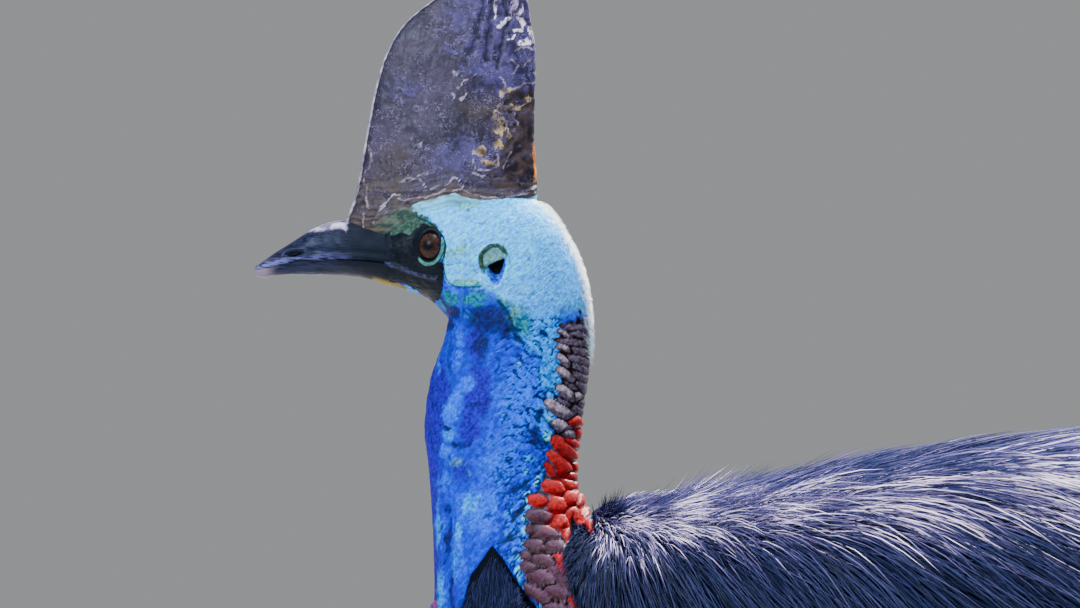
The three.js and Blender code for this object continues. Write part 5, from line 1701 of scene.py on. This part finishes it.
def claw_piece(toe_name, sizes, name, side, material):
    """A claw that leaves its toe half way up and curves down to the floor."""
    rows = 40
    base = sizes["high"] / 2 * 0.62
    start = math.radians(sizes["heading"]) * side
    spot = np.array([FOOT_X, 0.0, base + 1])
    spot += np.array([-math.cos(start), math.sin(start), 0]) * (sizes["length"] - 9)
    s = np.linspace(0, 1, rows + 1)
    path = []
    for share in s:
        path.append([spot[0], spot[1], lerp(base + 1, 3.2, share**2)])
        way = start + math.radians(sizes["turn"]) * side * share
        spot += np.array([-math.cos(way), math.sin(way), 0]) * (sizes["claw"] + 9) / rows
    radii = sizes["root"] * 0.8 * (1 - s) ** 0.75
    radii[-1] = 0.15
    points, faces = tube(path, radii, 28, 0.9)
    points[:, 2] = np.maximum(points[:, 2], 0.6)
    points = stance(points, side)
    node = f"claw_{toe_name}_{name}"
    make(f"{node}_horn", points, faces, material, (node,))


def scales_finish():
    """Grey-brown scutes and small scales with dark seams."""
    finish = Finish("scales_finish", 0.55, Specular_IOR_Level=0.2)
    cloud = finish.noise(30, 5)
    plates = finish.cells(300, stretch=(1, 1, 0.8))
    colour = finish.mix(finish.range(cloud, 0.35, 0.65), "4c463c", "7a7060")
    colour = finish.mix(finish.range(finish.noise(12, 2), 0.45, 0.7), colour, "484a3c")
    colour = finish.mix(finish.range(plates, 0.0, 0.12, 0.75, 0.0), colour, "241f1a")
    colour = finish.mix(finish.times(finish.attribute("groove"), 0.85), colour, "1c1814")
    normal = finish.bump(finish.range(plates, 0.0, 0.25), 0.0009)
    return finish.finish(colour, finish.range(cloud, 0.3, 0.7, 0.45, 0.65), normal)


def claw_finish():
    """Dark horn with fine lines along it."""
    finish = Finish("claw_finish", 0.35, Specular_IOR_Level=0.5)
    lines = finish.noise(1.0, 4, 0.2, stretch=(30, 500, 500))
    colour = finish.mix(finish.range(lines, 0.35, 0.65), "141211", "3a332d")
    gloss = finish.range(lines, 0.3, 0.7, 0.28, 0.5)
    return finish.finish(colour, gloss, finish.bump(lines, 0.0005))


# Wings

# Radii of the stub of a wing and of a quill, from root to tip
STUB_RADII = np.array([0.93, 1, 0.93, 0.7, 0.1]) * 14
QUILL_RADII = np.array([3.3, 3.2, 2.9, 2.4, 1.7, 0.25])


def spread_out(sizes, count):
    """A few sizes spread evenly over a count of places."""
    return np.interp(np.linspace(0, len(sizes) - 1, count), range(len(sizes)), sizes)


def wing_piece(name, side, material):
    """The stub of a wing and its bare quills, fanned out down the flank."""
    s = np.linspace(0, 1, 14)
    share, angle = WING["share"] + s * WING["reach"], WING["angle"] + 0.12 * s
    point, normal, _, _ = surface(TRUNK, share, angle, np.full(len(s), float(side)))
    stub = point + normal * lerp(-30, WING["lift"] - 8, smoothstep(s, 0, 0.8))[:, None]
    pieces = [tube(stub, spread_out(STUB_RADII, len(s)), 24, 0.8, normal[-1])]
    quills = WING["quills"]
    fan = np.arange(quills) / (quills - 1)
    level = np.full(quills, WING["lift"] - 2.0)
    lines, _, _ = grow(
        TRUNK, WING["share"] + WING["reach"] * lerp(0.72, 0.3, fan), WING["angle"] + 0.1 + 0 * fan,
        np.full(quills, float(side)), length=WING["quill"] * lerp(1, 0.72, fan),
        ceiling=level, root=level, swing=lerp(0.3, -0.55, fan), segments=26, fall=NO_FALL,
    )
    for quill in lines:
        pieces.append(tube(quill, spread_out(QUILL_RADII, len(quill)), 14, 1.0, normal[-1]))
    points, faces = joined(pieces)
    make(f"wing_quills_{name}", points, faces, material, (f"wing_{name}",))


def quill_finish():
    """Smooth black quills."""
    finish = Finish("quill_finish", 0.4, Specular_IOR_Level=0.2)
    lines = finish.noise(1.0, 3, stretch=(60, 60, 400))
    colour = finish.mix(finish.range(lines, 0.35, 0.65), "0a0a0e", "26222a")
    gloss = finish.range(lines, 0.3, 0.7, 0.35, 0.5)
    return finish.finish(colour, gloss, finish.bump(lines, 0.0003))


# Plumage: hair-like strands that follow the lie of the coat

RISE = 2.4  # how fast a strand rises from its root: 1 is straight
FALL = 2.25  # past this angle a strand that started higher up hangs free
HANG_FROM = 0.9  # and past this share of the trunk
HANG_AFTER = 0.35  # once this share of the strand has risen out of the coat
SAG = 0.25  # how much a hanging strand turns down with each segment
MOVES = 2  # moves along the body for each segment of a strand


def grow(
    table, share, angle, side, *, length, ceiling, root, swing, segments, fall=FALL, way=lie,
    flare=0,
):
    """Middle lines of strands on a body, and across and outward vectors along them."""
    share, angle = share.copy(), angle.copy()
    started = angle.copy()
    free = np.zeros(len(share), bool)
    lines, acrosses, outs = [], [], []
    at = heading = np.zeros((len(share), 3))
    for k in range(segments + 1):
        s = k / segments
        point, normal, _, _ = surface(table, share, angle, side)
        point = point + normal * (lerp(root, ceiling, 1 - (1 - s) ** RISE) + flare * s**3)[:, None]
        go = flow(way, share, angle, side, normal, swing)
        at = np.where(free[:, None], at, point)
        drooping = unit(lerp(heading, np.array([0, 0, -1.0]), SAG))
        heading = np.where(free[:, None], drooping, go)
        across = unit(np.cross(normal, heading))
        lines.append(at)
        acrosses.append(across)
        outs.append(np.cross(heading, across))
        free = free | ((started < fall) & (angle > fall)) | ((share > HANG_FROM) & (s > HANG_AFTER))
        step = length / segments
        at = at + heading * step[:, None]
        share, angle = advance(table, way, share, angle, side, swing, step)
    return [np.stack(part, 1) for part in (lines, acrosses, outs)]


def flow(way, share, angle, side, normal, swing):
    """The lie in the surface at spots of a body, turned by a swing."""
    go = way(share, angle, side)
    go = unit(go - normal * np.sum(go * normal, axis=1, keepdims=True))
    turn = (swing * side)[:, None]
    return go * np.cos(turn) + np.cross(normal, go) * np.sin(turn)


def advance(table, way, share, angle, side, swing, length):
    """Share and angle a length further along the lie."""
    for _ in range(MOVES):
        _, normal, a, b = surface(table, share, angle, side)
        go = flow(way, share, angle, side, normal, swing)
        aa, ab, bb = (np.sum(p * q, axis=1) for p, q in ((a, a), (a, b), (b, b)))
        ga, gb = np.sum(go * a, axis=1), np.sum(go * b, axis=1)
        scale = length / MOVES / np.maximum(aa * bb - ab * ab, 1e-6)
        share = np.clip(share + (ga * bb - gb * ab) * scale, 0, 1)
        angle = np.clip(angle + (gb * aa - ga * ab) * scale, ANGLE_STEP, math.pi - ANGLE_STEP)
    return share, angle


TAPER = ((0, 0.2, 0.7, 1), (0.75, 1, 0.8, 0.12))  # places along a strand, and its width there
BAKE_WIDTH, BAKE_LENGTH = 0.0015, 0.003  # half the width of a strand on the unwrap, and its length


def ribbons(strands, width, roots, tones):
    """Points, faces, bake places and tones of strands: tapered ribbons with a raised middle."""
    lines, across, outs = strands
    count, rings = lines.shape[:2]
    s = np.linspace(0, 1, rings)
    taper = np.interp(s, *TAPER)[None, :, None] * width[:, None, None] / 2
    left = lines - across * taper - outs * taper * 0.5
    ridge = lines + outs * taper * 0.55
    right = lines + across * taper - outs * taper * 0.5
    points = np.stack([left, ridge, right], 2)[:, :-1].reshape(count, -1, 3)
    points = np.concatenate([points, lines[:, -1:]], 1)
    size = points.shape[1]
    local = []
    for k in range(rings - 2):
        for j in (0, 1):
            p, q = 3 * k + j, 3 * (k + 1) + j
            local += [(p, p + 1, q + 1), (p, q + 1, q)]
    last = 3 * (rings - 2)
    local += [(last, last + 1, size - 1), (last + 1, last + 2, size - 1)]
    faces = (np.arange(count)[:, None, None] * size + np.array(local)).reshape(-1, 3)
    spread = [
        (BAKE_WIDTH * j, BAKE_LENGTH * k / rings) for k in range(rings - 1) for j in (-1, 0, 1)
    ]
    spread = np.array(spread + [(0, BAKE_LENGTH)])
    uv = (roots[:, None] + spread).reshape(-1, 2)
    tones = np.broadcast_to(tones, (count, rings))
    shine = np.concatenate([np.repeat(tones[:, :-1], 3, axis=1), tones[:, -1:]], 1).ravel()
    return points.reshape(-1, 3), faces, uv, shine


# Each coat: the spots its roots are drawn from, its strands, its seed, the segments of a strand,
# and where its strip of the unwrap starts and how long it is
COATS = {
    "trunk": dict(pool=500000, count=56000, seed=3, segments=5, strip=(0.3, 0.5)),
    "neck": dict(pool=500000, count=11500, seed=4, segments=4, strip=(0.0, 0.3)),
    "bristles": dict(pool=300000, count=1300, seed=9, segments=3, strip=(0.0, 0.3)),
    "thigh_left": dict(pool=60000, count=3600, seed=4, segments=4, strip=(0.82, 0.08)),
    "thigh_right": dict(pool=60000, count=3600, seed=6, segments=4, strip=(0.91, 0.08)),
}
NO_FALL = 9  # an angle that no strand passes, for coats that don't hang free
TRIANGLES_PER_PIECE = 190000
# The sheen painted into the strands, by how far back a place lies: its reach down from the spine,
# and its strength there
SHEEN_DEPTH = ((10, 150, 360), (38, 56, 88))
SHEEN_CREST = ((20, 90, 130, 270, 340), (0.5, 0.75, 0.3, 0.3, 0.7))


def coat_piece(name, strands, width, roots, tones, material):
    """Strands as pieces small enough to handle."""
    per_strand = 4 * (strands[0].shape[1] - 2) + 2
    limit = TRIANGLES_PER_PIECE // per_strand
    total = len(width)
    parts = -(-total // limit)
    for part in range(parts):
        span = slice(part * total // parts, (part + 1) * total // parts)
        chunk = [values[span] for values in strands]
        points, faces, uv, shine = ribbons(chunk, width[span], roots[span], tones[span])
        label = name if parts == 1 else f"{name}_{part + 1}"
        make(label, points, [faces], material, (), {"tone": shine}, uv, turned=False)


def bake_place(coat, share, angle, side):
    """Where a root lies on the unwrap of the skin: bands of it along u, and round the body in v."""
    start, reach = COATS[coat]["strip"]
    return np.stack([start + reach * share, 0.5 + 0.49 * side * angle / math.pi], -1)


def scatter(coat, table, weight):
    """Roots of a coat on a body, drawn in proportion to its area and a weight."""
    pool, count = COATS[coat]["pool"], COATS[coat]["count"]
    draw = np.random.default_rng(COATS[coat]["seed"])
    share, angle = draw.random(pool), draw.random(pool) * math.pi
    side = np.where(draw.random(pool) < 0.5, -1.0, 1.0)
    point, _, a, b = surface(table, share, angle, side)
    area = np.linalg.norm(np.cross(a, b), axis=1) * weight(share, angle, point)
    chosen = draw.choice(pool, count, replace=False, p=area / area.sum())
    chosen = chosen[np.argsort(share[chosen])]
    return share[chosen], angle[chosen], side[chosen], point[chosen], draw


def trunk_length(share):
    """Length of the strands of the trunk."""
    return lerp(42, 235, smoothstep(share, 0.0, 0.34)) - 145 * smoothstep(share, 0.7, 0.9)


def trunk_width(share):
    """Width of the strands of the trunk."""
    return lerp(0.8, 1.3, smoothstep(share, 0.05, 0.4)) + 1.3 * smoothstep(share, 0.42, 0.62)


def sheen(points, reach):
    """How strongly a silvery sheen is painted on the strands: most along the upper back, and each
    to its own depth.
    """
    crown = oval_point(TRUNK, np.linspace(0, 1, 200), 0.0, 1.0)
    x = points[..., 0]
    below = np.interp(x, crown[:, 0], crown[:, 2]) - points[..., 2]
    band = reach * np.interp(x, *SHEEN_DEPTH)
    # The strength of the painted sheen at the very top of the back
    top_light = np.interp(x, *SHEEN_CREST)
    edge = lerp(top_light, 1.0, smoothstep(below / band, 0.15, 0.5)) * smoothstep(x, -3, 8)
    edge = edge * lerp(1, 0.5, smoothstep(x, 380, 560))
    return edge * (1 - smoothstep(below / band, 0.6, 1.2))


def trunk_coat(material):
    """Long drooping strands over the whole trunk, with a silvery sheen painted along the upper
    back.
    """
    def weight(share, angle, point):
        covered = feather_cover(point[:, 0], point[:, 2])
        visible = 1 + 0.9 * (1 - smoothstep(angle, 1.0, 1.9)) * (1 - smoothstep(share, 0.25, 0.6))
        rump = (1 - smoothstep(angle, 2.3, 2.5) * smoothstep(share, 0.74, 0.78)) * (share < 0.98)
        nape = 1 + 4 * (1 - smoothstep(point[:, 0], -3, 10)) * (1 - smoothstep(angle, 0.6, 1.2))
        return covered * visible * rump * nape / (trunk_length(share) * trunk_width(share))

    share, angle, side, point, draw = scatter("trunk", TRUNK, weight)
    count = len(share)
    tuft = noise(point, 26, 61, 2)
    length = trunk_length(share) * draw.uniform(0.7, 1.15, count)
    length *= lerp(0.4, 1, smoothstep(point[:, 0], -8, 14))
    length *= 1 - 0.45 * (1 - smoothstep(angle, 0.3, 1.0)) * (1 - smoothstep(share, 0.2, 0.4))
    depth = coat_depth(share)
    ceiling = lerp(-3, 4, smoothstep(angle, 0.3, 1.1)) + 2.5 * tuft
    ceiling -= draw.random(count) ** 2 * 0.4 * depth
    hackles = (1 - smoothstep(angle, 0.25, 0.9)) * (1 - smoothstep(share, 0.12, 0.3))
    ceiling += 3 * draw.random(count) ** 3
    ceiling += 4.5 * (1 - smoothstep(point[:, 0], 8, 38)) * (1 - smoothstep(angle, 0.5, 1.0))
    flare = hackles * lerp(3, 15, smoothstep(tuft, -0.1, 0.4)) * draw.random(count) ** 1.4
    root = -depth / 2 - 3
    swing = 0.2 * noise(point, 70, 62) + 0.14 * tuft + 0.07 * draw.standard_normal(count)
    strands = grow(
        TRUNK, share, angle, side, length=length, ceiling=ceiling, root=root, swing=swing,
        segments=COATS["trunk"]["segments"], flare=flare,
    )
    width = trunk_width(share) * draw.uniform(0.6, 1.2, count)
    places = bake_place("trunk", share, angle, side)
    nape = 1 - smoothstep(point[:, :1], 10, 60)
    clumps = lerp(0.7, 1.25, smoothstep(noise(point, 14, 63, 2), -0.35, 0.35))[:, None]
    # Shine: the strength of the painted silvery sheen on each strand, in clumps
    shine = clumps * (0.34 + 1.1 * draw.random((count, 1)) ** 2.6)
    tones = lerp(0.5, 0.4, nape) * draw.random((count, 1))
    # The painted sheen is broken into short bright dashes along the strands
    dashes = noise(strands[0].reshape(-1, 3), 17, 64).reshape(count, -1)
    shine = shine * lerp(0.6, 1.3, smoothstep(dashes, -0.35, 0.45))
    tones = tones + shine * sheen(strands[0], draw.uniform(0.65, 1.35, (count, 1)))
    coat_piece("plumage_trunk", strands, width, places, tones, material)


def steady(back, down):
    """A lie that runs one way everywhere."""
    return lambda share, angle, side: np.tile((back, 0.0, -down), (len(share), 1))


def neck_coat(material):
    """Short dark strands at the foot of the neck."""
    def weight(share, angle, point):
        cover = feather_cover(point[:, 0], point[:, 2]) * smoothstep(share, 0.5, 0.52) + 1e-9
        return cover * (1 + 3 * smoothstep(point[:, 0], -24, -12))

    share, angle, side, point, draw = scatter("neck", HEAD_NECK, weight)
    cover = feather_cover(point[:, 0], point[:, 2])
    keep = cover > draw.uniform(0.05, 0.9, len(cover))
    share, angle, side = share[keep], angle[keep], side[keep]
    count = len(share)
    length = draw.uniform(16, 34, count)
    ceiling = draw.uniform(-3, 3, count)
    root = np.full(count, -7.0)
    swing = 0.12 * draw.standard_normal(count)
    strands = grow(
        HEAD_NECK, share, angle, side, length=length, ceiling=ceiling, root=root, swing=swing,
        segments=COATS["neck"]["segments"], fall=NO_FALL, way=steady(back=0.16, down=1.0),
    )
    width = draw.uniform(0.5, 0.9, count)
    places = bake_place("neck", share, angle, side)
    tones = 0.4 * draw.random((count, 1))
    coat_piece("plumage_neck", strands, width, places, tones, material)


def bristle_coat():
    """Short stiff hairs at the back of the head and down the nape, pale near the back of the head,
    where a sunlit highlight is painted on them.
    """

    def weight(share, angle, point):
        px, py = pixels(point[:, 0], point[:, 2])
        near = 1 - smoothstep(line_distance(point[:, 0], point[:, 2], HEAD_REAR), 3, 9)
        near = near * sets_in(px, "bristles") * sets_in(py, "bristles_top")
        return near * ends(py, "bristles_end") + 1e-9

    share, angle, side, point, draw = scatter("bristles", HEAD_NECK, weight)
    count = len(share)
    length = draw.uniform(2.5, 6, count)
    ceiling = draw.uniform(0.6, 3, count)
    root = np.full(count, -1.0)
    swing = 0.3 * draw.standard_normal(count)
    strands = grow(
        HEAD_NECK, share, angle, side, length=length, ceiling=ceiling, root=root, swing=swing,
        segments=COATS["bristles"]["segments"], fall=NO_FALL, way=steady(back=0.7, down=0.7),
    )
    width = draw.uniform(0.25, 0.4, count)
    # Painted highlight: the hairs are whitened along the sunlit rim of the head
    _, py = pixels(point[:, 0], point[:, 2])
    sunlit = np.interp(py, *SUNLIT)
    rim = 1 - smoothstep(line_distance(point[:, 0], point[:, 2], HEAD_REAR), 0.5 * sunlit, sunlit)
    tones = (rim * draw.uniform(0.5, 1, count))[:, None]
    finish = Finish("bristle_finish", 0.5, Specular_IOR_Level=0.1)
    colour = finish.mix(finish.attribute("tone"), "8298ac", "eef4f8")
    places = bake_place("bristles", share, angle, side)
    coat_piece("bristles", strands, width, places, tones, finish.finish(colour))


def thigh_way(share, angle, side):
    """Down the thigh, square to its sections."""
    back_x, back_z, front_x, front_z, _ = between(THIGH, share).T
    up = unit(np.stack([back_x - front_x, 0 * back_x, back_z - front_z], -1))
    return np.stack([up[:, 2], 0 * back_x, -up[:, 0]], -1)


def evenly(share, angle, point):
    """The same weight everywhere."""
    return np.ones(len(share))


def thigh_coat(material):
    """Strands down both thighs to the heel."""
    for name, way in SIDES.items():
        coat = f"thigh_{name}"
        share, angle, side, _, draw = scatter(coat, THIGH, evenly)
        count = len(share)
        length = lerp(95, 45, share) * draw.uniform(0.8, 1.1, count)
        swing = 0.1 * draw.standard_normal(count)
        depth = thigh_depth(share)
        ceiling = -draw.random(count) * 0.4 * depth
        lines, across, outs = grow(
            THIGH, share, angle, side, length=length, ceiling=ceiling, root=-depth - 2, swing=swing,
            segments=COATS[coat]["segments"], fall=NO_FALL, way=thigh_way,
        )
        lines = stance(lines.reshape(-1, 3), way).reshape(lines.shape)
        width = lerp(1.9, 1.2, share) * draw.uniform(0.7, 1.2, count)
        places = bake_place(coat, share, angle, side)
        tones = 0.5 * draw.random((count, 1))
        coat_piece(f"plumage_{coat}", (lines, across, outs), width, places, tones, material)


def plumage_finish():
    """Blue-black strands, with a sheen painted on them by their tone: violet and then silvery where
    they shine.
    """
    finish = Finish("plumage_finish", 0.4, Specular_IOR_Level=0.04, Specular_Tint=FEATHER_BLUE)
    tone = finish.attribute("tone")
    # The blue of the darker strands is partly their own blue-black and partly a painted bluish
    # gloss
    colour = finish.mix(finish.range(tone, 0.0, 0.5), "0a1020", "232b52")
    colour = finish.mix(finish.range(tone, 0.38, 0.8), colour, "5f5688")
    colour = finish.mix(finish.range(tone, 0.72, 1.25), colour, "e8dcf6")
    brown = finish.range(finish.noise(9, 3), 0.55, 0.75, 0.0, 0.15)
    colour = finish.mix(brown, colour, "16110f")
    return finish.finish(colour, finish.range(tone, 0.2, 1.0, 0.6, 0.45))


casque_piece()
bill_pieces()
eye_pieces()
wattle_pieces()
scales, horn, quill, plumage = scales_finish(), claw_finish(), quill_finish(), plumage_finish()
for side_name, side_way in SIDES.items():
    leg_piece(side_name, side_way, scales)
    wing_piece(side_name, side_way, quill)
    for claw_toe, claw_sizes in TOES.items():
        claw_piece(claw_toe, claw_sizes, side_name, side_way, horn)
trunk_coat(plumage)
neck_coat(plumage)
bristle_coat()
thigh_coat(plumage)


# Floor, light and camera

FLOOR_HALF = 4.0
SKY_COLOUR = (0.80, 0.82, 0.84, 1)
SKY_STRENGTH = 0.38
# Round soft lamps: place and target in metres from the middle of the view, diameter in metres,
# power in watts and colour
LAMPS = {
    "key": ((1.3, 1.5, 3.5), (0.3, 0, 0), 0.9, 560, (1.0, 0.97, 0.93)),
    "top": ((0.5, -0.8, 2.7), (0.3, 0, -0.2), 1.0, 110, (0.94, 0.96, 1.0)),
    "rim": ((1.7, 2.6, 1.9), (0, 0, 0), 0.5, 420, (1.0, 0.98, 0.95)),
    "fill": ((-1.5, -2.7, 1.5), (0, 0, 0), 1.5, 170, (0.97, 0.98, 1.0)),
}


def soft_light(name, place, target, size, power, colour):
    """A round lamp turned to its target."""
    data = bpy.data.lights.new(name, "AREA")
    data.shape = "DISK"
    data.size = size
    data.energy = power
    data.color = colour
    lamp = bpy.data.objects.new(name, data)
    lamp.location = place
    lamp.rotation_euler = (Vector(target) - Vector(place)).to_track_quat("-Z", "Y").to_euler()
    bpy.context.scene.collection.objects.link(lamp)


def studio():
    """A pale floor, an even sky and the lamps."""
    finish = Finish("floor_finish", 0.75)
    speckle = finish.noise(90, 3)
    colour = finish.mix(speckle, "cfcdc8", "d8d6d2")
    finish.finish(colour)
    mesh = bpy.data.meshes.new("floor")
    corners = [(x * FLOOR_HALF, y * FLOOR_HALF, 0) for x, y in ((-1, -1), (1, -1), (1, 1), (-1, 1))]
    mesh.from_pydata(corners, [], [(0, 1, 2, 3)])
    mesh.materials.append(finish.material)
    floor = bpy.data.objects.new("floor", mesh)
    bpy.context.scene.collection.objects.link(floor)
    sky = bpy.data.worlds.new("studio")
    bpy.context.scene.world = sky
    sky.use_nodes = True
    background = sky.node_tree.nodes["Background"]
    background.inputs["Color"].default_value = SKY_COLOUR
    background.inputs["Strength"].default_value = SKY_STRENGTH
    head = world(photo(PHOTO_CENTRE)[0][[0, 0, 1]] * (1, 0, 1))
    for name, (place, target, size, power, colour) in LAMPS.items():
        soft_light(name, head + place, head + target, size, power, colour)


CAMERA_DISTANCE = 5.0
SENSOR_WIDTH = 36
VIEW_DEPTH = 60


def camera():
    """A level view from the bird's left with the photo's framing."""
    data = bpy.data.cameras.new("camera")
    width = PHOTO_WIDTH * MM_PER_PIXEL / 1000
    data.sensor_width = SENSOR_WIDTH
    data.lens = SENSOR_WIDTH * CAMERA_DISTANCE / width
    data.clip_end = VIEW_DEPTH
    view = bpy.data.objects.new("camera", data)
    x, z = photo(PHOTO_CENTRE)[0]
    view.location = Vector(world((x, 0, z))) + Vector((0, -CAMERA_DISTANCE, 0))
    view.rotation_euler = (math.pi / 2, 0, 0)
    bpy.context.scene.collection.objects.link(view)
    bpy.context.scene.camera = view


studio()
camera()
